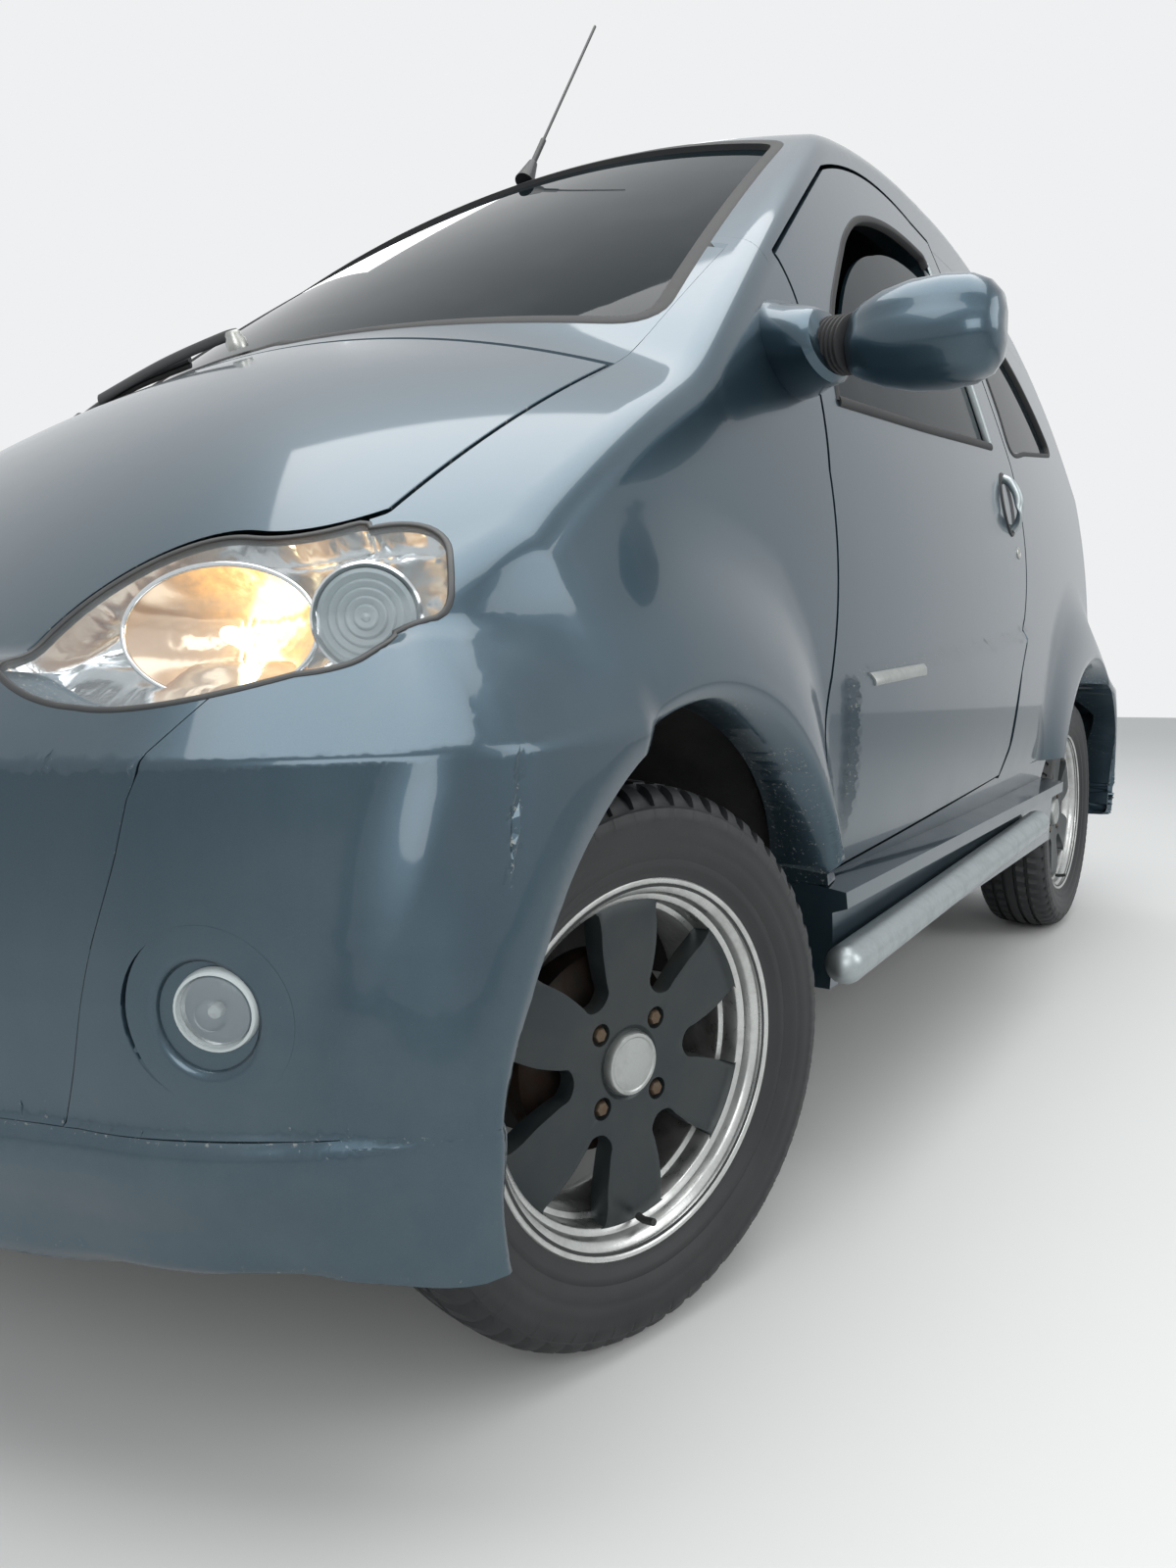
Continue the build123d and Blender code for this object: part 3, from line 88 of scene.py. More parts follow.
class Wire:
    """Output of a shader node that takes part in Python sums."""

    def __init__(self, tree: bpy.types.NodeTree, socket: bpy.types.NodeSocket) -> None:
        """Wrap one output socket of a tree."""
        self.tree = tree
        self.socket = socket

    def _sum(self, operation: str, *others: "Wire | float", swap: bool = False,
            clamp: bool = False) -> "Wire":
        """Add a Math node.

        Args:
            operation: the Math node's operation.
            others: further inputs, as wires or numbers.
            swap: puts the first of the others before this wire.
            clamp: keeps the result between 0 and 1.

        Returns:
            The wire of the result.
        """
        node = self.tree.nodes.new("ShaderNodeMath")
        node.operation = operation
        node.use_clamp = clamp
        values: list["Wire | float"] = [self, *others]
        if swap:
            values = [others[0], self, *others[1:]]
        for socket, value in zip(node.inputs, values):
            if isinstance(value, Wire):
                self.tree.links.new(value.socket, socket)
            else:
                socket.default_value = value
        return Wire(self.tree, node.outputs[0])

    def __add__(self, other: "Wire | float") -> "Wire":
        """Sum."""
        return self._sum("ADD", other)

    __radd__ = __add__

    def __sub__(self, other: "Wire | float") -> "Wire":
        """Difference."""
        return self._sum("SUBTRACT", other)

    def __rsub__(self, other: float) -> "Wire":
        """Difference from a number."""
        return self._sum("SUBTRACT", other, swap=True)

    def __mul__(self, other: "Wire | float") -> "Wire":
        """Product."""
        return self._sum("MULTIPLY", other)

    __rmul__ = __mul__

    def between(self, low: float, high: float) -> "Wire":
        """0 at low, 1 at high and straight in between."""
        return self._sum("SUBTRACT", low)._sum("DIVIDE", high - low, clamp=True)

    def size(self) -> "Wire":
        """Absolute value."""
        return self._sum("ABSOLUTE", 0.0)

    def largest(self, other: "Wire | float") -> "Wire":
        """Larger of two."""
        return self._sum("MAXIMUM", other)


class Recipe:
    """Node tree of one material."""

    def __init__(self, name: str) -> None:
        """Start a material with an empty tree."""
        self.material = bpy.data.materials.new(name)
        self.material.use_nodes = True
        self.tree = self.material.node_tree
        self.tree.nodes.clear()
        self._place: Optional[Wire] = None

    def node(self, kind: str, settings: Optional[dict] = None, **sockets: object) -> bpy.types.Node:
        """Add a node.

        Args:
            kind: node type.
            settings: properties of the node, set before its sockets.
            sockets: values or wires by socket name, with _ for a space.

        Returns:
            The node.
        """
        node = self.tree.nodes.new(kind)
        for key, value in (settings or {}).items():
            setattr(node, key, value)
        for key, value in sockets.items():
            numbered = key[0] == "i" and key[1:].isdigit()
            socket = node.inputs[int(key[1:]) if numbered else key.replace("_", " ")]
            if isinstance(value, Wire):
                self.tree.links.new(value.socket, socket)
            else:
                socket.default_value = value
        return node

    def out(self, node: bpy.types.Node, name: "str | int") -> Wire:
        """Wire of a node's output."""
        return Wire(self.tree, node.outputs[name])

    def place(self) -> Wire:
        """Object coordinates, which are metres in the car's frame."""
        if self._place is None:
            self._place = self.out(self.node("ShaderNodeTexCoord"), "Object")
        return self._place

    def axis(self, letter: str, of: Optional[Wire] = None) -> Wire:
        """One coordinate of a vector wire, Object coordinates by default."""
        split = self.node("ShaderNodeSeparateXYZ", None, Vector=of or self.place())
        return self.out(split, letter)

    def facing(self, letter: str) -> Wire:
        """One coordinate of the surface normal in the car's frame."""
        geometry = self.node("ShaderNodeNewGeometry")
        return self.axis(letter, self.out(geometry, "Normal"))

    def stretched(self, scale: Point) -> Wire:
        """Object coordinates scaled along each axis."""
        return self.out(self.node("ShaderNodeMapping", None, Vector=self.place(), Scale=scale), 0)

    def noise(self, scale: float, detail: float = 2.0, rough: float = 0.5, at: Optional[Wire] = None) -> Wire:
        """Noise from 0 to 1."""
        node = self.node("ShaderNodeTexNoise", None, Vector=at or self.place(), Scale=scale, Detail=detail,
                Roughness=rough)
        return self.out(node, 0)

    def cells(self, scale: float, output: str = "Distance") -> Wire:
        """Voronoi cells."""
        return self.out(self.node("ShaderNodeTexVoronoi", None, Vector=self.place(), Scale=scale), output)

    def attribute(self, name: str) -> Wire:
        """Number painted on the mesh."""
        return self.out(self.node("ShaderNodeAttribute", {"attribute_name": name}), "Fac")

    def blend(self, share: "Wire | float", first: object, second: object) -> Wire:
        """Colour between first and second.

        Args:
            share: 0 for first, 1 for second.
            first: colour or wire.
            second: colour or wire.

        Returns:
            Wire of the mixed colour.
        """
        node = self.node("ShaderNodeMix", {"data_type": "RGBA"}, i0=share, i6=first, i7=second)
        return self.out(node, 2)

    def bump(self, height: Wire, distance: float, strength: float) -> Wire:
        """Normal from a height of which 1 is distance metres."""
        return self.out(self.node("ShaderNodeBump", None, Height=height, Distance=distance,
                Strength=strength), 0)

    def finish(self, **sockets: object) -> bpy.types.Material:
        """Close the tree with a Principled surface and return the material."""
        surface = self.node("ShaderNodeBsdfPrincipled", None, **sockets)
        output = self.node("ShaderNodeOutputMaterial")
        self.tree.links.new(surface.outputs[0], output.inputs[0])
        return self.material


def tone(red: float, green: float, blue: float) -> Color:
    """Scene-linear colour of an 0-255 screen colour."""

    def level(value: float) -> float:
        """One channel."""
        value /= 255
        return value / 12.92 if value <= 0.04045 else ((value + 0.055) / 1.055) ** 2.4

    return level(red), level(green), level(blue), 1.0


def scaled(color: Color, share: float) -> Color:
    """Colour made darker or lighter by that share."""
    return tuple(part * share for part in color[:3]) + (1.0,)


_mixed: dict[object, bpy.types.Material] = {}


class Finish:
    """Base of the finishes: each one mixes its material once."""

    def mix(self) -> bpy.types.Material:
        """Build the material."""
        raise NotImplementedError

    def material(self) -> bpy.types.Material:
        """Material of this finish, mixed on first use."""
        if self not in _mixed:
            _mixed[self] = self.mix()
        return _mixed[self]


@dataclass(frozen=True)
class MetalPaint(Finish):
    """Graphite metal-flake paint under clear lacquer, with road film and chips."""

    name: str = "graphite_paint"
    color: Color = tone(70, 92, 104)
    deep: Color = tone(50, 68, 79)
    film: Color = tone(112, 122, 124)
    chip: Color = tone(160, 162, 156)
    film_share: float = 0.28

    def mix(self) -> bpy.types.Material:
        """Fine flakes, a dusty film low down and on top, and chipped rims."""
        r = Recipe(self.name)
        flake = r.axis("X", r.cells(2600.0, "Color"))
        mottle = r.noise(2.4, 3.0, 0.5)
        color = r.blend(flake * 0.22 + mottle * 0.5, self.deep, self.color)
        low = 1 - r.axis("Z").between(0.25, 0.7)
        up = r.facing("Z").between(0.3, 1.0)
        dust = r.noise(14.0, 6.0, 0.62).between(0.42, 0.8)
        runs = r.noise(1.0, 5.0, 0.6, r.stretched((46, 46, 4))).between(0.52, 0.8)
        film = ((low * 0.55 + up * 0.25) * dust + runs * 0.10) * self.film_share
        edge = r.attribute("edge").between(0.5, 1.0)
        chips = edge * r.noise(240.0, 3.0, 0.7).between(0.6, 0.66)
        color = r.blend(film, color, self.film)
        color = r.blend(chips * 0.7, color, self.chip)
        specks = r.cells(34.0).between(0.022, 0.012) * low
        color = r.blend(specks * 0.35, color, self.film)
        rough = 0.29 + film * 0.5 + chips * 0.3 + flake * 0.05
        normal = r.bump(r.noise(110.0, 2.0, 0.5), 0.0001, 0.35)
        return r.finish(Base_Color=color, Metallic=0.78, Roughness=rough, Normal=normal,
                        Coat_Weight=0.8 - film * 0.7 - chips * 0.6, Coat_Roughness=0.05, Coat_IOR=1.45)


@dataclass(frozen=True)
class Plain(Finish):
    """Moulded plastic, rubber or lacquered sheet with grain and dust."""

    name: str
    color: Color
    dust: Color = tone(120, 118, 110)
    dust_share: float = 0.2
    roughness: float = 0.5
    grain: float = 900.0
    grain_depth: float = 0.00012
    metallic: float = 0.0

    def mix(self) -> bpy.types.Material:
        """Fine grain with uneven dust."""
        r = Recipe(self.name)
        grain = r.noise(self.grain, 2.0, 0.6)
        patch = r.noise(11.0, 6.0, 0.65).between(0.4, 0.8)
        up = r.facing("Z").between(-0.2, 1.0)
        dust = patch * (up * 0.7 + 0.3) * self.dust_share
        grained = r.blend(grain * 0.35, self.color, scaled(self.color, 1.5))
        color = r.blend(dust, grained, self.dust)
        return r.finish(Base_Color=color, Roughness=self.roughness + dust * 0.5 + grain * 0.06 - 0.03,
                        Metallic=self.metallic, Normal=r.bump(grain, self.grain_depth, 0.6))


@dataclass(frozen=True)
class Metal(Finish):
    """Cast, turned or drawn metal with tarnish."""

    name: str
    color: Color
    stain: Color = tone(70, 66, 60)
    stain_share: float = 0.5
    roughness: float = 0.3
    grain: float = 400.0

    def mix(self) -> bpy.types.Material:
        """Metal with stains in patches and fine pitting."""
        r = Recipe(self.name)
        patch = r.noise(30.0, 6.0, 0.7).between(0.45, 0.75)
        pits = r.noise(self.grain, 3.0, 0.6)
        stain = patch * self.stain_share
        pitted = r.blend(pits * 0.3, self.color, scaled(self.color, 0.6))
        color = r.blend(stain, pitted, self.stain)
        return r.finish(Base_Color=color, Metallic=0.95 - stain * 0.4,
                Roughness=self.roughness + stain * 0.5 + pits * 0.08, Normal=r.bump(pits, 0.00012, 0.5))


@dataclass(frozen=True)
class Glass(Finish):
    """Window or lamp glass; alpha is how much of it is seen rather than seen through."""

    name: str
    color: Color
    alpha: float
    dust: Color = tone(150, 158, 158)
    dust_share: float = 0.08
    roughness: float = 0.02
    gloss: float = 0.5

    def mix(self) -> bpy.types.Material:
        """Clear sheet with a faint dusty film."""
        r = Recipe(self.name)
        film = r.noise(7.0, 6.0, 0.6).between(0.45, 0.85) * self.dust_share
        specks = r.cells(60.0).between(0.03, 0.015) * self.dust_share * 2.0
        film = film + specks
        return r.finish(Base_Color=r.blend(film, self.color, self.dust),
                Roughness=self.roughness + film * 0.8, Alpha=film * 0.6 + self.alpha, IOR=1.45,
                Specular_IOR_Level=self.gloss)


@dataclass(frozen=True)
class Glow(Finish):
    """Lit reflector or bulb, brightest near one place."""

    name: str
    color: Color
    strength: float
    centre: Point = (0.0, 0.0, 0.0)
    reach: float = 1.0
    metallic: float = 0.6

    def mix(self) -> bpy.types.Material:
        """Warm light that falls off from the brightest place, white hot at its middle."""
        r = Recipe(self.name)
        offset = r.node("ShaderNodeVectorMath", {"operation": "SUBTRACT"}, i0=self.mirrored(r),
                i1=self.centre)
        away = r.out(r.node("ShaderNodeVectorMath", {"operation": "LENGTH"}, i0=r.out(offset, 0)), "Value")
        near = 1 - away.between(0.0, self.reach)
        spots = r.noise(90.0, 3.0, 0.6).between(0.35, 0.7)
        light = near * near * (spots * 0.6 + 0.5)
        hot = r.blend(light.between(0.15, 0.75), self.color, tone(255, 238, 196))
        glow = r.blend(light.between(0.0, 0.5), tone(70, 34, 8), hot)
        return r.finish(Base_Color=tone(190, 180, 160), Metallic=self.metallic, Roughness=0.16,
                Emission_Color=glow, Emission_Strength=self.strength)

    def mirrored(self, r: Recipe) -> Wire:
        """Object coordinates with the right side folded onto the left."""
        return r.out(r.node("ShaderNodeCombineXYZ", None, X=r.axis("X").size(), Y=r.axis("Y"),
                Z=r.axis("Z")), 0)


PAINT = MetalPaint()
SIDE_PAINT = MetalPaint(name="graphite_paint_sides", film_share=0.34)
BLACK_RUBBER = Plain("black_rubber", tone(22, 23, 25), roughness=0.62, dust_share=0.16)
BLACK_PLASTIC = Plain("black_plastic", tone(26, 28, 30), roughness=0.42, dust_share=0.2)
CABIN_PLASTIC = Plain("cabin_plastic", tone(44, 46, 49), roughness=0.6, dust_share=0.1)
CABIN_CLOTH = Plain("cabin_cloth", tone(52, 54, 58), roughness=0.9, dust_share=0.08, grain=420.0,
        grain_depth=0.0006)
UNDERSEAL = Plain("underseal", tone(30, 30, 31), roughness=0.8, dust_share=0.5, grain=160.0,
        grain_depth=0.0008)
CASTING = Metal("grey_casting", tone(120, 120, 118), roughness=0.5, stain_share=0.7)
BRIGHT_ALLOY = Metal("bright_alloy", tone(196, 198, 196), roughness=0.24, stain_share=0.35)
TUBE_SILVER = Metal("tube_silver", tone(170, 178, 180), roughness=0.34, stain_share=0.25)
TYRE_RUBBER = Plain("tyre_rubber", tone(24, 26, 28), dust=tone(92, 94, 92), roughness=0.52, dust_share=0.24,
        grain=260.0, grain_depth=0.0002)
SPOKE_PAINT = Plain("spoke_paint", tone(40, 47, 50), dust=tone(104, 100, 90), roughness=0.34, dust_share=0.3,
        grain=500.0, grain_depth=0.0001, metallic=0.45)
MACHINED = Metal("machined_edges", tone(186, 188, 184), stain=tone(92, 84, 70), stain_share=0.55,
        roughness=0.26)
CAP_SILVER = Metal("cap_silver", tone(176, 180, 178), roughness=0.36, stain_share=0.3)
RUSTY_BOLT = Metal("rusty_bolt", tone(104, 92, 78), stain=tone(92, 52, 28), stain_share=0.9, roughness=0.5)
DRUM_IRON = Metal("drum_iron", tone(58, 54, 50), stain=tone(74, 46, 30), stain_share=0.8, roughness=0.55)
LAMP_SEAL = Plain("lamp_seal", tone(30, 32, 34), roughness=0.4)
FOG_RING = Glass("fog_ring", tone(206, 214, 214), 0.72, roughness=0.12)
CLEAR_GLASS = Glass("clear_glass", tone(214, 222, 224), 0.2, dust_share=0.06)
RIBBED_GLASS = Glass("ribbed_glass", tone(176, 190, 194), 0.5, dust_share=0.04, roughness=0.05)
GREY_GLASS = Plain("grey_bulb", tone(120, 128, 130), roughness=0.12, dust_share=0.0)
LIT_REFLECTOR = Glow("lit_reflector", tone(255, 176, 62), 2.2, (0.530, AXLE_Y - 0.345, 0.690), 0.085)
GLOWING_BULB = Glow("glowing_bulb", tone(255, 226, 160), 7.0, (0.505, AXLE_Y - 0.350, 0.672), 0.3,
        metallic=0.0)
MIRROR_PAINT = MetalPaint(name="mirror_paint", film_share=0.2)
MIRROR_SILVER = Metal("mirror_silver", tone(214, 220, 222), roughness=0.04, stain_share=0.02)
SATIN_SILVER = Metal("satin_silver", tone(168, 176, 178), roughness=0.3, stain_share=0.15)
CHROME = Metal("lamp_chrome", tone(222, 226, 228), roughness=0.08, stain_share=0.06)
# dark, almost opaque window glass: painted shade of the cabin seen through it
WINDOW = Glass("window_glass", tone(9, 22, 27), 0.94, dust_share=0.03, gloss=0.1)
LENS = Glass("lamp_lens", tone(206, 216, 220), 0.06, dust_share=0.1, gloss=0.35)
RED_LENS = Glass("red_lens", tone(130, 16, 14), 0.82)


def new_object(name: str, points: Iterable[Point], faces: Iterable[Sequence[int]]) -> bpy.types.Object:
    """Link a mesh object made of points and faces."""
    mesh = bpy.data.meshes.new(name)
    mesh.from_pydata([tuple(p) for p in points], [], [tuple(int(i) for i in f) for f in faces])
    mesh.update()
    piece = bpy.data.objects.new(name, mesh)
    bpy.context.scene.collection.objects.link(piece)
    return piece


def only(piece: bpy.types.Object) -> None:
    """Select this piece alone and make it the active one."""
    bpy.ops.object.select_all(action="DESELECT")
    piece.select_set(True)
    bpy.context.view_layer.objects.active = piece


def settle(piece: bpy.types.Object) -> bpy.types.Object:
    """Put the place of a piece in its mesh and its origin at the car's origin."""
    bpy.context.view_layer.update()
    piece.data.transform(piece.matrix_world)
    if piece.matrix_world.determinant() < 0:
        piece.data.flip_normals()
    piece.matrix_world = Matrix.Identity(4)
    return piece


def modify(piece: bpy.types.Object, kind: str, **settings: object) -> None:
    """Add a modifier with its settings and apply it."""
    only(piece)
    modifier = piece.modifiers.new(kind.lower(), kind)
    for key, value in settings.items():
        setattr(modifier, key, value)
    bpy.ops.object.modifier_apply(modifier=modifier.name)


def smooth(piece: bpy.types.Object, degrees: float) -> None:
    """Shade smooth up to an angle."""
    only(piece)
    bpy.ops.object.shade_smooth_by_angle(angle=math.radians(degrees), keep_sharp_edges=True)


def dress(piece: bpy.types.Object, finish: Finish) -> bpy.types.Object:
    """Give the whole piece one finish."""
    piece.data.materials.clear()
    piece.data.materials.append(finish.material())
    return piece


def closed_normals(piece: bpy.types.Object) -> None:
    """Merge doubles and turn every face outwards."""
    shape = bmesh.new()
    shape.from_mesh(piece.data)
    bmesh.ops.remove_doubles(shape, verts=shape.verts, dist=0.00001)
    bmesh.ops.recalc_face_normals(shape, faces=shape.faces)
    shape.to_mesh(piece.data)
    shape.free()


def finished(piece: bpy.types.Object, finish: Finish, degrees: float) -> bpy.types.Object:
    """Close a new piece's mesh, shade it smooth up to an angle and give it its finish."""
    closed_normals(piece)
    smooth(piece, degrees)
    return dress(piece, finish)


def report(piece: bpy.types.Object) -> None:
    """Log one piece."""
    log.info("%s: %d faces", piece.name, len(piece.data.polygons))


def twin(piece: bpy.types.Object, name: str) -> bpy.types.Object:
    """Mirror image of a settled piece on the other side of the car, with its own mesh."""
    other = piece.copy()
    other.data = piece.data.copy()
    other.name = name
    bpy.context.scene.collection.objects.link(other)
    other.data.transform(Matrix.Scale(-1, 4, (1, 0, 0)))
    other.data.flip_normals()
    return other


def pair(piece: bpy.types.Object, body: str) -> tuple[bpy.types.Object, bpy.types.Object]:
    """Mirror a piece made on the left, name both after their side and let them ride.

    Args:
        piece: piece on the left.
        body: body that they ride on, with {} for the side.

    Returns:
        Left and right piece.
    """
    word = piece.name
    other = twin(piece, word + "_right")
    piece.name = word + "_left"
    for each, side in ((piece, "left"), (other, "right")):
        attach(each, body.format(side))
        report(each)
    return piece, other


def weld(first: bpy.types.Object, others: Iterable[bpy.types.Object]) -> bpy.types.Object:
    """Make the other pieces part of the first."""
    only(first)
    for other in others:
        other.select_set(True)
    bpy.ops.object.join()
    return first


def bevel(piece: bpy.types.Object, chosen: Callable[[bmesh.types.BMEdge], bool], **settings: object) -> None:
    """Bevel some edges.

    Args:
        piece: the piece.
        chosen: tells which edges between two faces are bevelled.
        settings: further settings of the modifier.
    """
    shape = bmesh.new()
    shape.from_mesh(piece.data)
    weight = shape.edges.layers.float.new("bevel_weight_edge")
    for edge in shape.edges:
        if len(edge.link_faces) == 2 and chosen(edge):
            edge[weight] = 1.0
    shape.to_mesh(piece.data)
    shape.free()
    modify(piece, "BEVEL", segments=2, limit_method="WEIGHT", use_clamp_overlap=True, **settings)


def net(rows: int, columns: int, ring: bool = False, caps: bool = False) -> list[tuple[int, ...]]:
    """Faces over rows of points that each close on themselves.

    Args:
        rows: number of rows.
        columns: points in a row.
        ring: joins the last row to the first.
        caps: closes the first and the last row.

    Returns:
        The faces.
    """
    faces = []
    for row in range(rows if ring else rows - 1):
        here, there = row * columns, (row + 1) % rows * columns
        faces += [(here + k, here + (k + 1) % columns, there + (k + 1) % columns, there + k)
                for k in range(columns)]
    if caps:
        faces += [tuple(reversed(range(columns))), tuple((rows - 1) * columns + k for k in range(columns))]
    return faces


def tube(name: str, path: Points, radius: float, finish: Finish, sides: int, flat: float = 1.0,
         closed: bool = False) -> bpy.types.Object:
    """Rod along a path of points.

    Args:
        name: piece name.
        path: points in the frame, in metres.
        radius: half the thickness.
        finish: its finish.
        sides: faces round the section.
        flat: share of the thickness that stays across the section's second axis.
        closed: joins the last point to the first.

    Returns:
        The piece.
    """
    line = [Vector(p) for p in path]
    count = len(line)
    points = []
    across = Vector((0, 0, 1))
    for index, at in enumerate(line):
        ahead = line[(index + 1) % count] if closed or index + 1 < count else at
        behind = line[index - 1] if closed or index > 0 else at
        run = (ahead - behind).normalized()
        first = across - run * across.dot(run)
        if first.length < 0.05:
            first = Vector((1, 0, 0)) - run * run.x
        first.normalize()
        second = run.cross(first)
        for step in range(sides):
            angle = 2 * math.pi * step / sides
            points.append(at + first * math.cos(angle) * radius + second * math.sin(angle) * radius * flat)
    return finished(new_object(name, points, net(count, sides, closed, not closed)), finish, 50)


def turned(name: str, profile: Points, centre: Point, axis: Point, finish: Finish,
        steps: int) -> bpy.types.Object:
    """Piece turned on a lathe.

    Args:
        name: piece name.
        profile: pairs of radius and height along the axis, from one end to the other.
        centre: where the axis starts.
        axis: direction of the axis.
        finish: its finish.
        steps: faces round the axis.

    Returns:
        The piece, closed where the profile ends on the axis.
    """
    along = Vector(axis).normalized()
    turn = along.to_track_quat("Z", "Y").to_matrix().to_4x4()
    place = Matrix.Translation(Vector(centre)) @ turn
    points = []
    for radius, height in profile:
        for step in range(steps):
            angle = 2 * math.pi * step / steps
            points.append(place @ Vector((radius * math.cos(angle), radius * math.sin(angle), height)))
    return finished(new_object(name, points, net(len(profile), steps)), finish, 40)


class Outline:
    """Smooth line of arcs in two coordinates, with its outward directions."""

    GROUP = 8

    def __init__(self, start: Point, arcs: Sequence[tuple[Point, Point]], inside: int, step: float = 16.0,
                 ease: int = 2, reach: float = 900.0) -> None:
        """Sample the arcs, ease their joints and find the normals.

        Args:
            start: first point.
            arcs: pairs of a point passed and an end.
            inside: 1 if the inside lies to the left of the run, -1 if to its right.
            step: distance between samples.
            ease: rounds of easing at the joints.
            reach: how far both ends run on.
        """
        line = [np.array(start, float)]
        for via, end in arcs:
            line += self._arc(line[-1], np.array(via, float), np.array(end, float), step)
        points = np.array(line)
        for _ in range(ease):
            points[1:-1] = 0.25 * points[:-2] + 0.5 * points[1:-1] + 0.25 * points[2:]
        head, tail = points[0] - points[1], points[-1] - points[-2]
        points = np.vstack([points[0] + head / np.hypot(*head) * reach, points,
                points[-1] + tail / np.hypot(*tail) * reach])
        run = np.vstack([points[1] - points[0], points[2:] - points[:-2], points[-1] - points[-2]])
        run /= np.hypot(run[:, 0], run[:, 1])[:, None]
        self.points = points
        self.normals = inside * np.stack([run[:, 1], -run[:, 0]], 1)

    @staticmethod
    def _arc(first: np.ndarray, via: np.ndarray, last: np.ndarray, step: float) -> list[np.ndarray]:
        """Points after first along the arc to last."""
        (x1, y1), (x2, y2), (x3, y3) = first, via, last
        d = 2 * (x1 * (y2 - y3) + x2 * (y3 - y1) + x3 * (y1 - y2))
        if abs(d) < 1e-6:
            count = max(1, int(np.hypot(*(last - first)) / step))
            return [first + (last - first) * i / count for i in range(1, count + 1)]
        s1, s2, s3 = x1 * x1 + y1 * y1, x2 * x2 + y2 * y2, x3 * x3 + y3 * y3
        cx = (s1 * (y2 - y3) + s2 * (y3 - y1) + s3 * (y1 - y2)) / d
        cy = (s1 * (x3 - x2) + s2 * (x1 - x3) + s3 * (x2 - x1)) / d
        radius = math.hypot(x1 - cx, y1 - cy)
        a1, a2, a3 = (math.atan2(y - cy, x - cx) for x, y in (first, via, last))
        a2 = a1 + (a2 - a1 + math.pi) % (2 * math.pi) - math.pi
        a3 = a2 + (a3 - a2 + math.pi) % (2 * math.pi) - math.pi
        count = max(1, int(abs(a3 - a1) * radius / step))
        return [np.array((cx + radius * math.cos(a1 + (a3 - a1) * i / count),
                cy + radius * math.sin(a1 + (a3 - a1) * i / count))) for i in range(1, count + 1)]

    def distance(self, u: np.ndarray, v: np.ndarray) -> tuple[np.ndarray, np.ndarray, np.ndarray]:
        """Distance from the line.

        Args:
            u: first coordinates.
            v: second coordinates.

        Returns:
            Signed distance outwards and its slope along both coordinates.
        """
        p = np.stack([u, v], 1)
        coarse = self.points[::self.GROUP]
        near = ((p[:, None] - coarse[None]) ** 2).sum(2).argmin(1) * self.GROUP
        last = len(self.points) - 2
        index = np.clip(near[:, None] + np.arange(-self.GROUP, self.GROUP + 1)[None], 0, last)
        a, b = self.points[index], self.points[index + 1]
        run = b - a
        share = np.clip(((p[:, None] - a) * run).sum(2) / (run ** 2).sum(2), 0, 1)
        foot = a + share[..., None] * run
        gap = ((p[:, None] - foot) ** 2).sum(2)
        pick = gap.argmin(1)
        rows = np.arange(len(p))
        i, t, q = index[rows, pick], share[rows, pick], foot[rows, pick]
        normal = self.normals[i] * (1 - t[:, None]) + self.normals[i + 1] * t[:, None]
        normal /= np.hypot(normal[:, 0], normal[:, 1])[:, None]
        return ((p - q) * normal).sum(1), normal[:, 0], normal[:, 1]


Field = tuple[np.ndarray, np.ndarray]


def rounded(first: Field, second: Field, radius: float) -> Field:
    """Overlap of two solids with a rolled edge of that radius."""
    a, ga = first
    b, gb = second
    c = np.clip((ga * gb).sum(1), -0.9, 0.98)
    u, v, s = a + radius, b + radius, 1 - c * c
    p, q = (u - c * v) / s, (v - c * u) / s
    w = np.sqrt(np.maximum((u * u + v * v - 2 * c * u * v) / s, 1e-9))
    both = (p > 0) & (q > 0)
    d = np.where(both, w - radius, np.where(a > b, a, b))
    g = np.where(both[:, None], (p[:, None] * ga + q[:, None] * gb) / w[:, None],
            np.where((a > b)[:, None], ga, gb))
    return d, g


def joined(first: Field, second: Field, soft: "float | np.ndarray") -> Field:
    """Union of two solids with a soft hollow between them."""
    a, ga = first
    b, gb = second
    h = np.clip(0.5 + 0.5 * (b - a) / soft, 0, 1)
    return b * (1 - h) + a * h - soft * h * (1 - h), gb * (1 - h)[:, None] + ga * h[:, None]


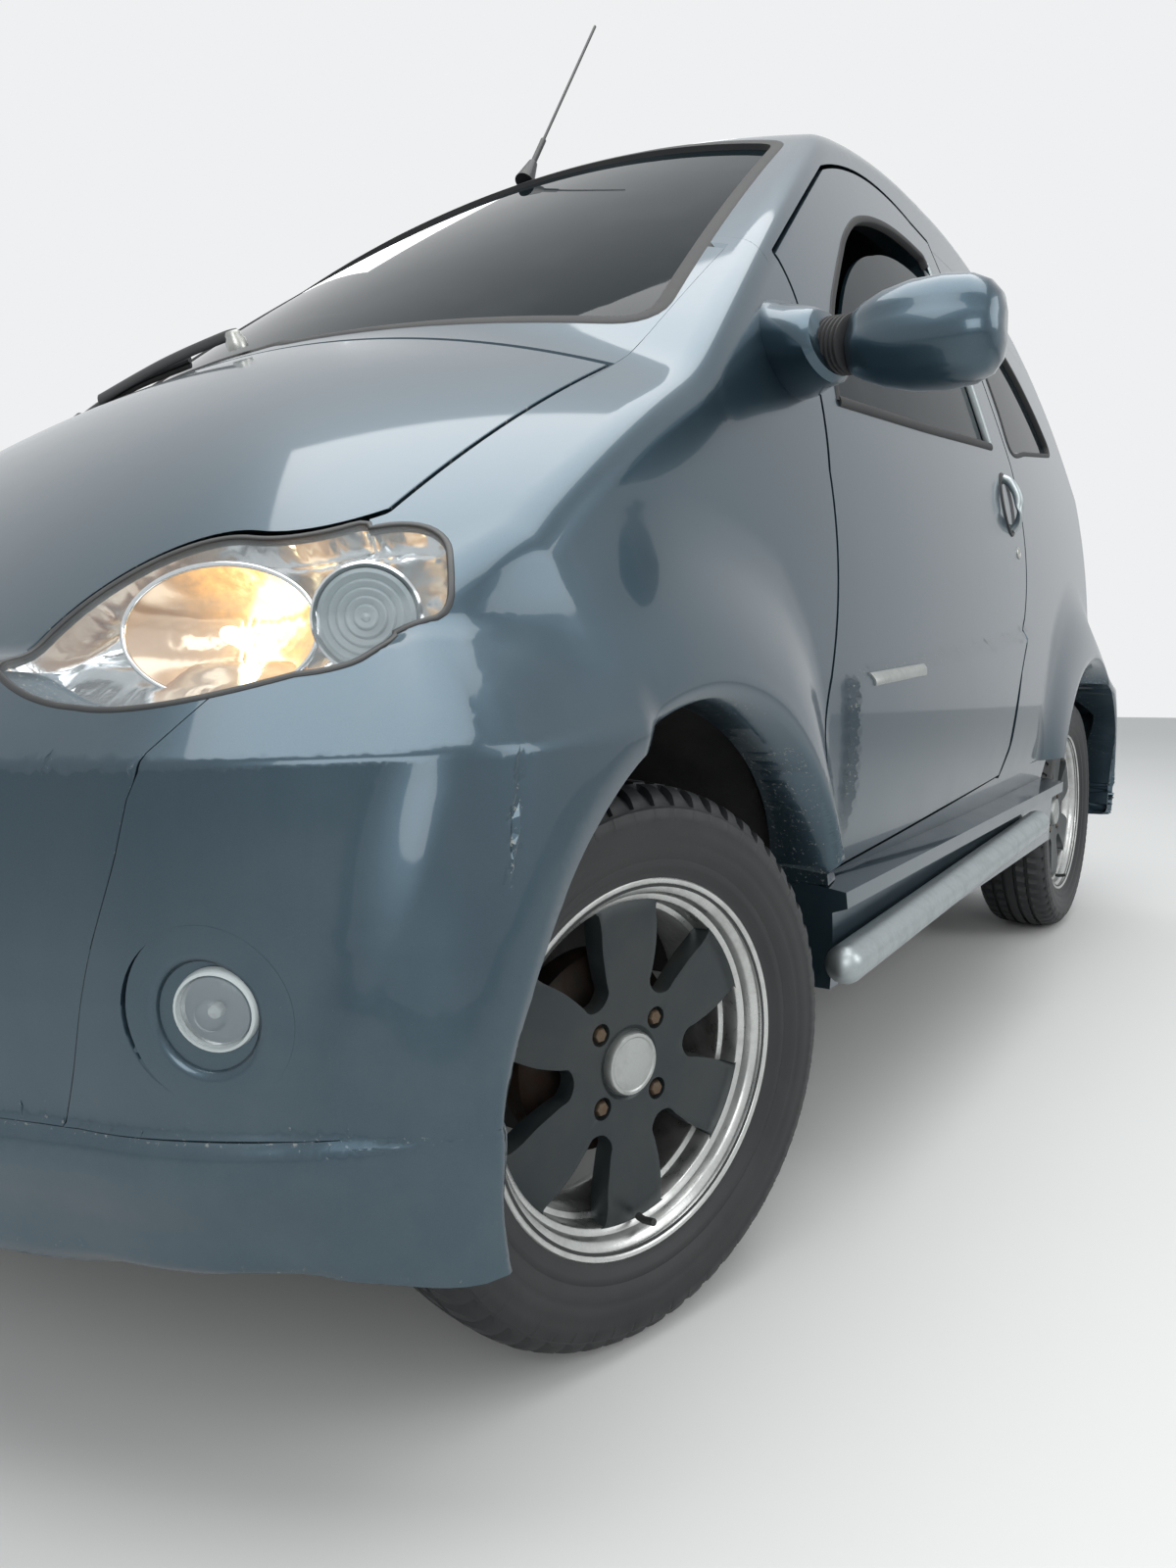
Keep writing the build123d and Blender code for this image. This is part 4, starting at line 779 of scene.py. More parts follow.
class Form:
    """Outer surface of the body: crowned top, barrelled sides, plan, bumpers, arches and the door ledge."""

    CROWN_Z = -700.0
    BARREL = 25000.0
    WIDEST = 714.0
    BARREL_AT = 1000.0
    TOP = Outline((-545, 440), [((-527, 548), (-470, 655)), ((-200, 888), (90, 1045)),
            ((390, 1262), (690, 1455)), ((935, 1500), (1200, 1512)), ((1500, 1487), (1750, 1410)),
            ((1900, 1300), (2010, 1150)), ((2105, 985), (2155, 800)), ((2182, 620), (2186, 430))], -1, ease=6)
    SIDE = Outline((650, 225), [((700, 400), (714, 600)), ((702, 800), (668, 985)),
            ((619, 1165), (560, 1345))], 1, ease=6)
    PLAN = Outline((0, -548), [((220, -531), (430, -478)), ((590, -352), (695, -120)),
            ((735, 40), (740, 150)), ((740, 900), (740, 1650)), ((668, 1985), (520, 2130)),
            ((265, 2177), (0, 2190))], 1, ease=4)
    NOSE = Outline((0, -560), [((250, -540), (480, -478)), ((630, -412), (735, -290)),
            ((736, 0), (735, 400))], 1, ease=2)
    TAIL = Outline((0, 2190), [((330, 2182), (610, 2160)), ((695, 2130), (735, 2070)),
            ((736, 1800), (735, 1500))], -1, ease=2)
    FLARE = Outline((712, 309), [((726, 311), (734, 322)), ((736, 330), (735, 342)),
            ((727, 384), (702, 442))], 1, step=5, ease=1, reach=260.0)
    # wheel arches: height of their middle, radius of the opening, crest and depth of the drawn flare, its reach,
    # and the radius at which a swelling ends with the roll of its edge
    ARCH_Z = 290.0
    ARCH_RADIUS = 315.0
    CREST_X = 736.0
    FLARE_DEPTH = 34.0
    FLARE_REACH = 442.0
    SWELLING_END, SWELLING_ROLL = 480.0, 30.0
    # angle from the rear, reach of the swelling
    FRONT_REACH = ((-20, 348), (0, 350), (25, 360), (42, 384), (54, 420), (65, 444), (90, 442), (107, 432),
            (128, 436), (135, 420), (141, 404), (153, 384), (180, 372), (220, 372))
    REAR_REACH = ((-40, 345), (0, 350), (20, 372), (50, 425), (90, 442), (130, 436), (150, 410), (180, 380),
            (220, 370))
    # angles from the rear, softness of the hollow round the swelling
    SOFTNESS = ((-40, -10, 20, 135, 160, 200), (8, 10, 34, 40, 34, 20))
    # search for an arch's foot: lowest height, first guess and limits of its place, limits of its depth
    FOOT_Z, FOOT_X, FOOT_PLACES, FOOT_DEPTHS = 270.0, 700.0, (560.0, 725.0), (20.0, 150.0)
    # door ledge: ends of its upper line, how far it stands out, height of its slope, lengths over which it starts
    # and ends, and where and how far it fades towards the sill
    LEDGE_FRONT, LEDGE_REAR = (372, 625), (1330, 688)
    LEDGE_RISE = 13.0
    LEDGE_SLOPE = 21.0
    LEDGE_START, LEDGE_END = 16.0, 50.0
    LEDGE_FOOT, LEDGE_FADE, LEDGE_LEAST = 386.0, 90.0, 0.25
    # bumpers: lower and upper height of the shelf and how far back it runs
    NOSE_SHELF = (586.0, 655.0, -130.0)
    TAIL_SHELF = (534.0, 603.0, 1910.0)
    BUMPER_BOTTOM = 225.0
    BUMPER_HOLLOW = 14.0
    SHELF_ROLL, FACE_ROLL, BODY_ROLL = 9.0, 12.0, 50.0
    # front bumper: heights, and how far it draws in above and below the lip's rounded band
    WAIST = ((225, 240, 262, 284, 300, 317, 326, 331, 338, 352, 380, 420, 460),
             (13.0, 12.5, 9.5, 3.5, 0.3, 0.3, 3.0, 9.0, 9.6, 8.4, 5.0, 1.4, 0.0))
    WAIST_STEP = 3
    # points measured at once, longest move and remaining gap of a point laid on the surface, in metres
    BATCH = 20000
    STRIDE, GAP = 0.02, 0.00003

    def ledge(self, y: np.ndarray, z: np.ndarray) -> np.ndarray:
        """How far the lower door skin stands out at distances behind the front axle and heights."""
        (y0, z0), (y1, z1) = self.LEDGE_FRONT, self.LEDGE_REAR
        top = z0 + (y - y0) * (z1 - z0) / (y1 - y0)
        under = np.clip((top - z) / self.LEDGE_SLOPE, 0, 1)
        start = np.clip((y - y0) / self.LEDGE_START, 0, 1)
        end = np.clip((y1 + self.LEDGE_END / 2 - y) / self.LEDGE_END, 0, 1)
        fade = np.clip((z - self.LEDGE_FOOT) / self.LEDGE_FADE, self.LEDGE_LEAST, 1)
        return self.LEDGE_RISE * under * under * (3 - 2 * under) * (start * end) * fade

    def __init__(self) -> None:
        """Find how deep each arch sinks to meet the body at its foot."""
        self.arches = [(0.0, np.array(self.FRONT_REACH, float).T),
                (WHEELBASE / MM, np.array(self.REAR_REACH, float).T)]
        self.drops = [self.foot_depths(axle, reach) for axle, reach in self.arches]

    def foot_depths(self, axle: float, reach: np.ndarray) -> np.ndarray:
        """Depth of an arch.

        Args:
            axle: distance of its wheel behind the front axle.
            reach: its table of angles and reaches.

        Returns:
            Distance from the arch's crest inwards to the body, for each angle of the table.
        """
        angle = np.radians(reach[0])
        y, z = axle + reach[1] * np.cos(angle), np.maximum(self.ARCH_Z + reach[1] * np.sin(angle),
                self.FOOT_Z)
        x = np.full(len(y), self.FOOT_X)
        for _ in range(20):
            d, g = self.base(x, y, z)
            x = np.clip(x - d / np.maximum(g[:, 0], 0.2), *self.FOOT_PLACES)
        return np.clip(self.CREST_X - x, *self.FOOT_DEPTHS)

    def swelling(self, x: np.ndarray, y: np.ndarray, z: np.ndarray, arch: int) -> tuple[Field, np.ndarray]:
        """Arch round a wheel.

        Args:
            x: distance from the centre plane.
            y: distance behind the front axle.
            z: height.
            arch: 0 for the front wheel, 1 for the rear wheel.

        Returns:
            Its field with the slope along x, y and z, and the softness of its hollow.
        """
        axle, reach = self.arches[arch]
        dy, dz = y - axle, z - self.ARCH_Z
        r = np.hypot(dy, dz) + 1e-9
        angle = np.degrees(np.arctan2(dz, dy))
        angle = np.where(angle < -90, angle + 360, angle)
        out = np.interp(angle, *reach)
        squeeze = self.FLARE_DEPTH / np.interp(angle, reach[0], self.drops[arch])
        share = (self.FLARE_REACH - self.ARCH_RADIUS) / (out - self.ARCH_RADIUS)
        beyond, within = r > self.ARCH_RADIUS, x < self.CREST_X
        drawn = np.where(beyond, self.ARCH_RADIUS + (r - self.ARCH_RADIUS) * share, r)
        d, gx, gr = self.FLARE.distance(np.where(within, self.CREST_X - (self.CREST_X - x) * squeeze, x),
                drawn)
        gx, gr = gx * np.where(within, squeeze, 1), gr * np.where(beyond, share, 1)
        size = np.hypot(gx, gr)
        g = np.stack([gx / size, gr / size * dy / r, gr / size * dz / r], 1)
        past = (drawn - self.SWELLING_END) / np.where(beyond, share, 1)
        end = past, np.stack([np.zeros_like(r), dy / r, dz / r], 1)
        return rounded((d / size, g), end, self.SWELLING_ROLL), np.interp(angle, *self.SOFTNESS)

    def waist(self, z: np.ndarray) -> tuple[np.ndarray, np.ndarray]:
        """How far the front bumper draws in at heights, and the slope of that."""
        step = self.WAIST_STEP
        slope = (np.interp(z + step, *self.WAIST) - np.interp(z - step, *self.WAIST)) / (2 * step)
        return np.interp(z, *self.WAIST), slope

    def bulge(self, outline: Outline, x: np.ndarray, y: np.ndarray, z: np.ndarray, ledge: float, top: float,
              back: float) -> Field:
        """Bumper: an upright face under a shelf that slopes by 45 degrees.

        Args:
            outline: its line seen from above.
            x: distance from the centre plane.
            y: distance behind the front axle.
            z: height.
            ledge: height at which the shelf meets the face.
            top: upper end of the shelf.
            back: how far the bumper runs towards the car's middle.

        Returns:
            Its field with the slope along x, y and z.
        """
        d, gx, gy = outline.distance(x, y)
        zero = np.zeros_like(d)
        drawn, slope_z = self.waist(z) if outline is self.NOSE else (zero, zero)
        face = d + drawn, np.stack([gx, gy, slope_z], 1)
        sin = cos = math.sqrt(0.5)
        shelf = d * sin + (z - ledge) * cos, np.stack([gx * sin, gy * sin, zero + cos], 1)
        field = rounded(face, shelf, self.SHELF_ROLL)
        field = rounded(field, (z - top, np.stack([zero, zero, zero + 1], 1)), self.SHELF_ROLL)
        under = self.BUMPER_BOTTOM - z, np.stack([zero, zero, zero - 1], 1)
        inward = -1 if outline is self.TAIL else 1
        behind = (y - back) * inward, np.stack([zero, zero + inward, zero], 1)
        return rounded(rounded(field, under, self.FACE_ROLL), behind, self.FACE_ROLL)

    def measure(self, points: np.ndarray) -> Field:
        """Distance outside the surface and its direction, in metres, at points of the frame."""
        result_d, result_g = np.empty(len(points)), np.empty((len(points), 3))
        for start in range(0, len(points), self.BATCH):
            part = slice(start, start + self.BATCH)
            d, g = self._measure(points[part] / MM)
            result_d[part], result_g[part] = d * MM, g
        return result_d, result_g

    def base(self, x: np.ndarray, y: np.ndarray, z: np.ndarray) -> Field:
        """Body with its bumpers, without the arches, in millimetres."""
        r = np.hypot(x, z - self.CROWN_Z)
        d, gy, gr = self.TOP.distance(y, r + self.CROWN_Z)
        crown = d, np.stack([gr * x / r, gy, gr * (z - self.CROWN_Z) / r], 1)
        bx, by = x + self.BARREL - self.WIDEST, y - self.BARREL_AT
        b = np.hypot(bx, by)
        d, gb, gz = self.SIDE.distance(b - self.BARREL + self.WIDEST, z)
        side = d - self.ledge(y, z), np.stack([gb * bx / b, gb * by / b, gz], 1)
        d, gx, gy = self.PLAN.distance(x, y)
        plan = d, np.stack([gx, gy, np.zeros_like(gx)], 1)
        body = rounded(rounded(crown, side, self.BODY_ROLL), plan, self.BODY_ROLL)
        body = joined(body, self.bulge(self.NOSE, x, y, z, *self.NOSE_SHELF), self.BUMPER_HOLLOW)
        return joined(body, self.bulge(self.TAIL, x, y, z, *self.TAIL_SHELF), self.BUMPER_HOLLOW)

    def _measure(self, points: np.ndarray) -> Field:
        """Distance and direction in millimetres."""
        sign = np.where(points[:, 0] < 0, -1.0, 1.0)
        x, y, z = np.abs(points[:, 0]), points[:, 1] - AXLE_Y / MM, points[:, 2]
        body = self.base(x, y, z)
        for arch in (0, 1):
            body = joined(body, *self.swelling(x, y, z, arch))
        d, g = body
        g = g / np.sqrt((g ** 2).sum(1))[:, None]
        return d, np.stack([g[:, 0] * sign, g[:, 1], g[:, 2]], 1)

    def touch(self, points: np.ndarray, rounds: int = 6) -> np.ndarray:
        """Points moved onto the surface."""
        points = points.copy()
        away = np.arange(len(points))
        for _ in range(rounds):
            d, g = self.measure(points[away])
            points[away] -= np.clip(d, -self.STRIDE, self.STRIDE)[:, None] * g
            away = away[np.abs(d) > self.GAP]
            if not len(away):
                break
        return points

    def turning(self, points: np.ndarray, step: float = 0.004) -> np.ndarray:
        """How fast the surface turns beside points, in radians per metre."""
        _, here = self.measure(points)
        most = np.zeros(len(points))
        for shift in np.eye(3) * step:
            _, there = self.measure(points + shift)
            most = np.maximum(most, np.linalg.norm(there - here, axis=1) / step)
        return most


FORM = Form()


class View(Enum):
    """Drawing from which a line is laid on the body: the axis that it falls along and where it starts, in mm."""

    SIDE = (0, 620.0)
    FRONT = (1, -480.0)


def on_form(pairs: Sequence[Point], view: View, lift: float = 0.0) -> tuple[np.ndarray, np.ndarray]:
    """Lay a line of a drawing on the left side of the body.

    Args:
        pairs: side view (Y, Z) or front view (X, Z), in millimetres from the front axle.
        view: which drawing.
        lift: height above the surface in metres.

    Returns:
        Points in the frame in metres and the surface's directions there.
    """
    a, b = np.array(pairs, float).T
    column, start = view.value
    level = np.full(len(a), start)
    drawn = (level, a, b) if view is View.SIDE else (a, level, b)
    points = (np.stack(drawn, 1) + (0, AXLE_Y / MM, 0)) * MM
    least_slope, stride = 0.15, 0.05
    for _ in range(24):
        d, g = FORM.measure(points)
        slope = g[:, column]
        slope = np.where(np.abs(slope) < least_slope, np.copysign(least_slope, slope), slope)
        points[:, column] -= np.clip(d / slope, -stride, stride)
    _, g = FORM.measure(points)
    return points + g * lift, g


def eased(points: np.ndarray, step: float, closed: bool = False) -> np.ndarray:
    """Even samples of the smooth curve through the points.

    Args:
        points: points in two or three coordinates.
        step: distance between samples.
        closed: joins the last point to the first.

    Returns:
        The samples.
    """
    p = np.array(points, float)
    count = len(p)
    spans = count if closed else count - 1
    line = []
    for i in range(spans):
        if closed:
            a, b, c, d = p[i - 1], p[i], p[(i + 1) % count], p[(i + 2) % count]
        else:
            a, b, c, d = p[max(i - 1, 0)], p[i], p[i + 1], p[min(i + 2, count - 1)]
        for t in np.linspace(0, 1, 12, endpoint=False):
            bend = (2 * a - 5 * b + 4 * c - d) * t * t
            line.append(0.5 * (2 * b + (c - a) * t + bend + (3 * b - a - 3 * c + d) * t ** 3))
    line.append(p[0] if closed else p[-1])
    line = np.array(line)
    run = np.concatenate([[0], np.cumsum(np.linalg.norm(np.diff(line, axis=0), axis=1))])
    samples = np.linspace(0, run[-1], max(4, int(run[-1] / step)), endpoint=not closed)
    return np.stack([np.interp(samples, run, line[:, k]) for k in range(p.shape[1])], 1)


def strip(name: str, path: np.ndarray, normals: np.ndarray, section: Points, finish: Finish,
          closed: bool = False) -> bpy.types.Object:
    """Moulding that follows a line on the body.

    Args:
        name: piece name.
        path: points of the line.
        normals: outward directions there.
        section: pairs of sideways and outward metres, round the section.
        finish: its finish.
        closed: joins the ends.

    Returns:
        The piece.
    """
    run = np.roll(path, -1, 0) - np.roll(path, 1, 0)
    if not closed:
        run[0], run[-1] = path[1] - path[0], path[-1] - path[-2]
    across = np.cross(normals, run)
    across /= np.linalg.norm(across, axis=1)[:, None]
    points = [path[i] + across[i] * u + normals[i] * v for i in range(len(path)) for u, v in section]
    return finished(new_object(name, points, net(len(path), len(section), closed, not closed)), finish, 45)


def half_round(width: float, height: float, foot: float) -> Points:
    """Section of a moulding: a flat foot and a domed top."""
    dome = [(width / 2 * math.cos(a), height * math.sin(a)) for a in np.linspace(0, math.pi, 7)]
    return [(width / 2, foot), *dome, (-width / 2, foot)]


def lofted(name: str, rings: Sequence[np.ndarray], finish: Finish, angle: float = 50.0,
           caps: bool = True) -> bpy.types.Object:
    """Piece drawn over rings.

    Args:
        name: piece name.
        rings: rings with the same number of points.
        finish: its finish.
        angle: degrees up to which it is shaded smooth.
        caps: closes the first and the last ring.

    Returns:
        The piece.
    """
    points = [p for ring in rings for p in ring]
    return finished(new_object(name, points, net(len(rings), len(rings[0]), caps=caps)), finish, angle)


def oval(centre: Point, first: Point, second: Point, sides: int, square: float = 2.0) -> np.ndarray:
    """Ring of points.

    Args:
        centre: its middle.
        first: first half axis.
        second: second half axis.
        sides: number of points.
        square: above 2 squares it off.

    Returns:
        The points.
    """
    angles = np.linspace(0, 2 * math.pi, sides, endpoint=False)
    c, s = np.cos(angles), np.sin(angles)
    u, v = np.copysign(np.abs(c) ** (2 / square), c), np.copysign(np.abs(s) ** (2 / square), s)
    return np.array(centre) + u[:, None] * np.array(first) + v[:, None] * np.array(second)


def sides_of(faces: np.ndarray) -> np.ndarray:
    """Corner pairs of the sides of triangles, three to each, with the lower corner first."""
    return np.sort(faces[:, [[0, 1], [1, 2], [2, 0]]].reshape(-1, 2), 1)


def packed_mesh(node: bpy.types.Object) -> tuple[np.ndarray, np.ndarray, np.ndarray]:
    """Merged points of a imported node, its triangles and their normals."""
    shape = bmesh.new()
    shape.from_mesh(node.data)
    bmesh.ops.remove_doubles(shape, verts=shape.verts, dist=0.00002)
    bmesh.ops.triangulate(shape, faces=shape.faces)
    shape.verts.index_update()
    points = np.array([v.co for v in shape.verts])
    faces = np.array([[v.index for v in f.verts] for f in shape.faces])
    normals = np.array([f.normal for f in shape.faces])
    shape.free()
    return points, faces, normals


def refined(points: np.ndarray, faces: np.ndarray, free: np.ndarray,
        longest: Callable[[np.ndarray], np.ndarray], rounds: int = 9,
        shortest: float = 0.0) -> tuple[np.ndarray, np.ndarray, np.ndarray]:
    """Split the long edges of the free faces.

    Args:
        points: corners.
        faces: triangles.
        free: which corners lie on the outer surface.
        longest: longest edge allowed at places.
        rounds: most times that an edge is halved.
        shortest: edges no longer than this stay.

    Returns:
        New corners, triangles and free marks.
    """
    for _ in range(rounds):
        edges, back = np.unique(sides_of(faces), axis=0, return_inverse=True)
        back = back.reshape(-1, 3)
        length = np.linalg.norm(points[edges[:, 0]] - points[edges[:, 1]], axis=1)
        middle = (points[edges[:, 0]] + points[edges[:, 1]]) / 2
        touched = np.zeros(len(edges), bool)
        touched[back[free[faces].all(1)].ravel()] = True
        marked = touched & (length > shortest)
        marked[marked] = length[marked] > longest(middle[marked])
        if not marked.any():
            break
        new_index = np.full(len(edges), -1)
        new_index[marked] = len(points) + np.arange(marked.sum())
        points = np.vstack([points, middle[marked]])
        free = np.concatenate([free, np.ones(marked.sum(), bool)])
        cut = new_index[back]
        count = (cut >= 0).sum(1)
        parts = [faces[count == 0]]
        f, m = faces[count == 3], cut[count == 3]
        parts += [np.stack(t, 1) for t in ((f[:, 0], m[:, 0], m[:, 2]), (m[:, 0], f[:, 1], m[:, 1]),
                                           (m[:, 2], m[:, 1], f[:, 2]), (m[:, 0], m[:, 1], m[:, 2]))]
        for turn in range(3):
            order = [turn, (turn + 1) % 3, (turn + 2) % 3]
            pick = (count == 1) & (cut[:, turn] >= 0)
            f, m = faces[pick][:, order], cut[pick][:, turn]
            parts += [np.stack((f[:, 0], m, f[:, 2]), 1), np.stack((m, f[:, 1], f[:, 2]), 1)]
            pick = (count == 2) & (cut[:, turn] < 0)
            f, p, q = faces[pick][:, order], cut[pick][:, order[1]], cut[pick][:, order[2]]
            parts.append(np.stack((f[:, 2], q, p), 1))
            short = (np.linalg.norm(points[f[:, 0]] - points[p], axis=1)
                     < np.linalg.norm(points[f[:, 1]] - points[q], axis=1))
            parts += [np.where(short[:, None], np.stack((f[:, 0], f[:, 1], p), 1),
                    np.stack((f[:, 0], f[:, 1], q), 1)),
                    np.where(short[:, None], np.stack((f[:, 0], p, q), 1), np.stack((f[:, 1], p, q), 1))]
        faces = np.vstack(parts)
    return points, faces, free


@dataclass
class Studio:
    """Pale floor, soft lamps and the camera."""

    camera_at: Point = (1.186, -1.6705, 0.647)
    yaw: float = 34.86
    pitch: float = 6.72
    roll: float = -1.34
    lens: float = 24.72
    world_level: float = 0.62
    floor_color: Color = tone(214, 214, 212)
    aim: Point = (0, 0, 0.6)
    # name, place, size, power
    lamps: tuple[tuple[str, Point, float, float], ...] = (
        ("sky_panel", (0.4, -0.6, 3.4), 3.2, 95), ("front_panel", (2.6, -3.6, 2.2), 2.0, 45),
        ("side_panel", (4.2, 0.6, 2.4), 2.2, 40), ("rear_panel", (-2.8, 3.4, 2.6), 2.4, 45),
    )

    def camera(self) -> None:
        """Camera at the photograph's place."""
        yaw, pitch, roll = (math.radians(v) for v in (self.yaw, self.pitch, self.roll))
        ahead = Vector((-math.sin(yaw) * math.cos(pitch), math.cos(yaw) * math.cos(pitch), -math.sin(pitch)))
        across = Vector((math.cos(yaw), math.sin(yaw), 0))
        above = across.cross(ahead)
        right = across * math.cos(roll) + above * math.sin(roll)
        up = above * math.cos(roll) - across * math.sin(roll)
        data = bpy.data.cameras.new("camera")
        data.lens, data.sensor_width, data.sensor_fit = self.lens, 36.0, "AUTO"
        data.clip_start, data.clip_end = 0.05, 100.0
        eye = bpy.data.objects.new("camera", data)
        bpy.context.scene.collection.objects.link(eye)
        turn = Matrix((right, up, -ahead)).transposed().to_4x4()
        eye.matrix_world = Matrix.Translation(Vector(self.camera_at)) @ turn
        bpy.context.scene.camera = eye

    def lamp(self, name: str, at: Point, size: float, power: float) -> None:
        """One square soft lamp, turned towards the car."""
        data = bpy.data.lights.new(name, "AREA")
        data.size, data.energy = size, power
        light = bpy.data.objects.new(name, data)
        light.location = at
        light.rotation_euler = (Vector(self.aim) - Vector(at)).to_track_quat("-Z", "Y").to_euler()
        bpy.context.scene.collection.objects.link(light)

    def world(self) -> None:
        """Even sky light with a pale backdrop behind."""
        world = bpy.data.worlds.new("sky")
        bpy.context.scene.world = world
        world.use_nodes = True
        tree = world.node_tree
        tree.nodes.clear()
        path = tree.nodes.new("ShaderNodeLightPath")
        seen = Wire(tree, path.outputs["Is Camera Ray"]).largest(Wire(tree,
                path.outputs["Is Transmission Ray"]))
        seen = seen.largest(Wire(tree, path.outputs["Is Glossy Ray"]) * 0.75)
        kinds = ("ShaderNodeBackground", "ShaderNodeBackground", "ShaderNodeMixShader")
        light, backdrop, mix = (tree.nodes.new(kind) for kind in kinds)
        light.inputs[0].default_value, light.inputs[1].default_value = (0.93, 0.97, 1.0,
                1.0), self.world_level
        backdrop.inputs[0].default_value, backdrop.inputs[1].default_value = (0.86, 0.87, 0.88, 1.0), 1.0
        tree.links.new(seen.socket, mix.inputs[0])
        tree.links.new(light.outputs[0], mix.inputs[1])
        tree.links.new(backdrop.outputs[0], mix.inputs[2])
        tree.links.new(mix.outputs[0], tree.nodes.new("ShaderNodeOutputWorld").inputs[0])

    def floor(self) -> None:
        """Plain matt floor."""
        ground = new_object("studio_floor", [(-9, -9, 0), (9, -9, 0), (9, 9, 0), (-9, 9, 0)], [(0, 1, 2, 3)])
        r = Recipe("studio_floor")
        color = r.blend(r.noise(0.8, 3.0, 0.5), self.floor_color, tone(220, 220, 219))
        ground.data.materials.append(r.finish(Base_Color=color, Roughness=0.8))

    def build(self) -> None:
        """Set up the view, the light and the floor."""
        bpy.context.scene.view_settings.view_transform = "Standard"
        self.camera()
        self.world()
        for name, at, size, power in self.lamps:
            self.lamp(name, at, size, power)
        self.floor()


@dataclass
class PressedPanels:
    """Painted panels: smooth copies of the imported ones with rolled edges."""

    # node, body, longest edge, how far below the surface the skin may lie, and the same for faces that look
    # straight outwards; left-hand panels have a mirrored twin
    TABLE: tuple[tuple[str, str, float, float, float], ...] = (
        ("fender_left", "car", 0.014, 0.075, 0.0025), ("nose_panel", "car", 0.02, 0.034, 0.012),
        ("front_lip", "car", 0.02, 0.02, 0.0025), ("roof", "car", 0.035, 0.034, 0.0025),
        ("quarter_left", "car", 0.02, 0.06, 0.0025), ("rear_bumper", "car", 0.025, 0.034, 0.012),
        ("cowl", "car", 0.04, 0.034, 0.0025), ("door_left", "door_left", 0.018, 0.034, 0.0025),
        ("bonnet", "bonnet", 0.022, 0.034, 0.012), ("tailgate", "tailgate", 0.03, 0.034, 0.0025),
    )
    # corners of the space in which the step over the front wheel lies, and how deep it lies there
    STEP: tuple[Point, Point] = ((0.60, AXLE_Y - 0.34, 0.60), (0.80, AXLE_Y - 0.05, 0.76))
    STEP_DEPTH: float = 0.034
    # how far above the surface a skin may lie, how little below it a face is always skin, and the size of needles
    PROUD: float = 0.075
    SURE: float = 0.0025
    NEEDLE: float = 2e-9
    edge_width: float = 0.0016
    finest: float = 0.0045
    turn_per_edge: float = 0.28
    hold: float = 0.4
    fog_hole: Point = (0.590, AXLE_Y - 0.435, 0.415)
    fog_axis: Point = (0.45, -0.89, 0.0)
    fog_reach: float = 0.125
    fog_fade: float = 0.075
    frame: dict = field(default_factory=dict)

    def outer_of(self, points: np.ndarray, faces: np.ndarray, deep: float, flat: float) -> np.ndarray:
        """Find the outer skin: faces on the surface, and those that run on smoothly from them.

        Args:
            points: corners.
            faces: triangles.
            deep: how far below the surface the skin may lie.
            flat: the same for faces that look straight outwards.

        Returns:
            Which points lie on the outer skin.
        """
        d, g = FORM.measure(points)
        a, b, c = (points[faces[:, k]] for k in range(3))
        normal = np.cross(b - a, c - a)
        size = np.linalg.norm(normal, axis=1)
        normal /= np.maximum(size, 1e-15)[:, None]
        agree = (normal * g[faces].mean(1)).sum(1)
        near = (d[faces] > -deep).all(1) & (d[faces] < self.PROUD).all(1) & (agree > 0.3)
        reached = near & (d[faces] > -self.SURE).all(1) & (agree > 0.5)
        reached |= near & (d[faces] > -flat).all(1) & (agree > 0.85)
        middle = np.abs(points[faces].mean(1)) * (1, -1, 1)
        step = (middle > self.STEP[0]).all(1) & (middle < self.STEP[1]).all(1)
        step &= (d[faces] > -self.STEP_DEPTH).all(1) & (agree > -0.3)
        near |= step
        reached |= step
        _, back = np.unique(sides_of(faces), axis=0, return_inverse=True)
        order = np.argsort(back, kind="stable")
        same = back[order][1:] == back[order][:-1]
        first, second = order[:-1][same] // 3, order[1:][same] // 3
        # needles have no steady normal, so they join on either side
        needle = size < self.NEEDLE
        smooth_edge = ((normal[first] * normal[second]).sum(1) > 0.8) | needle[first] | needle[second]
        first, second = first[smooth_edge], second[smooth_edge]
        for _ in range(400):
            grown = reached.copy()
            grown[second[reached[first]]] = True
            grown[first[reached[second]]] = True
            grown &= near
            if (grown == reached).all():
                break
            reached = grown
        outer = np.zeros(len(points), bool)
        outer[faces[reached].ravel()] = True
        return outer

    def fog_shift(self, points: np.ndarray) -> np.ndarray:
        """Bumper points drawn towards the fog lamps' place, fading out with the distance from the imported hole."""
        axis = np.array(self.fog_axis) / np.linalg.norm(self.fog_axis)
        line = np.array(self.fog_hole) - axis * np.linspace(0.0, 0.1, 101)[:, None]
        hole = line[np.abs(FORM.measure(line)[0]).argmin()]
        place, _ = on_form([FogLamps.place], View.FRONT)
        flip = np.where(points[:, :1] < 0, (-1.0, 1.0, 1.0), (1.0, 1.0, 1.0))
        offset = points * flip - hole
        away = np.linalg.norm(offset - (offset @ axis)[:, None] * axis * 0.6, axis=1)
        share = np.clip((self.fog_reach - away) / self.fog_fade, 0, 1)
        share = share * share * (3 - 2 * share)
        return points + share[:, None] * (place[0] - hole) * flip

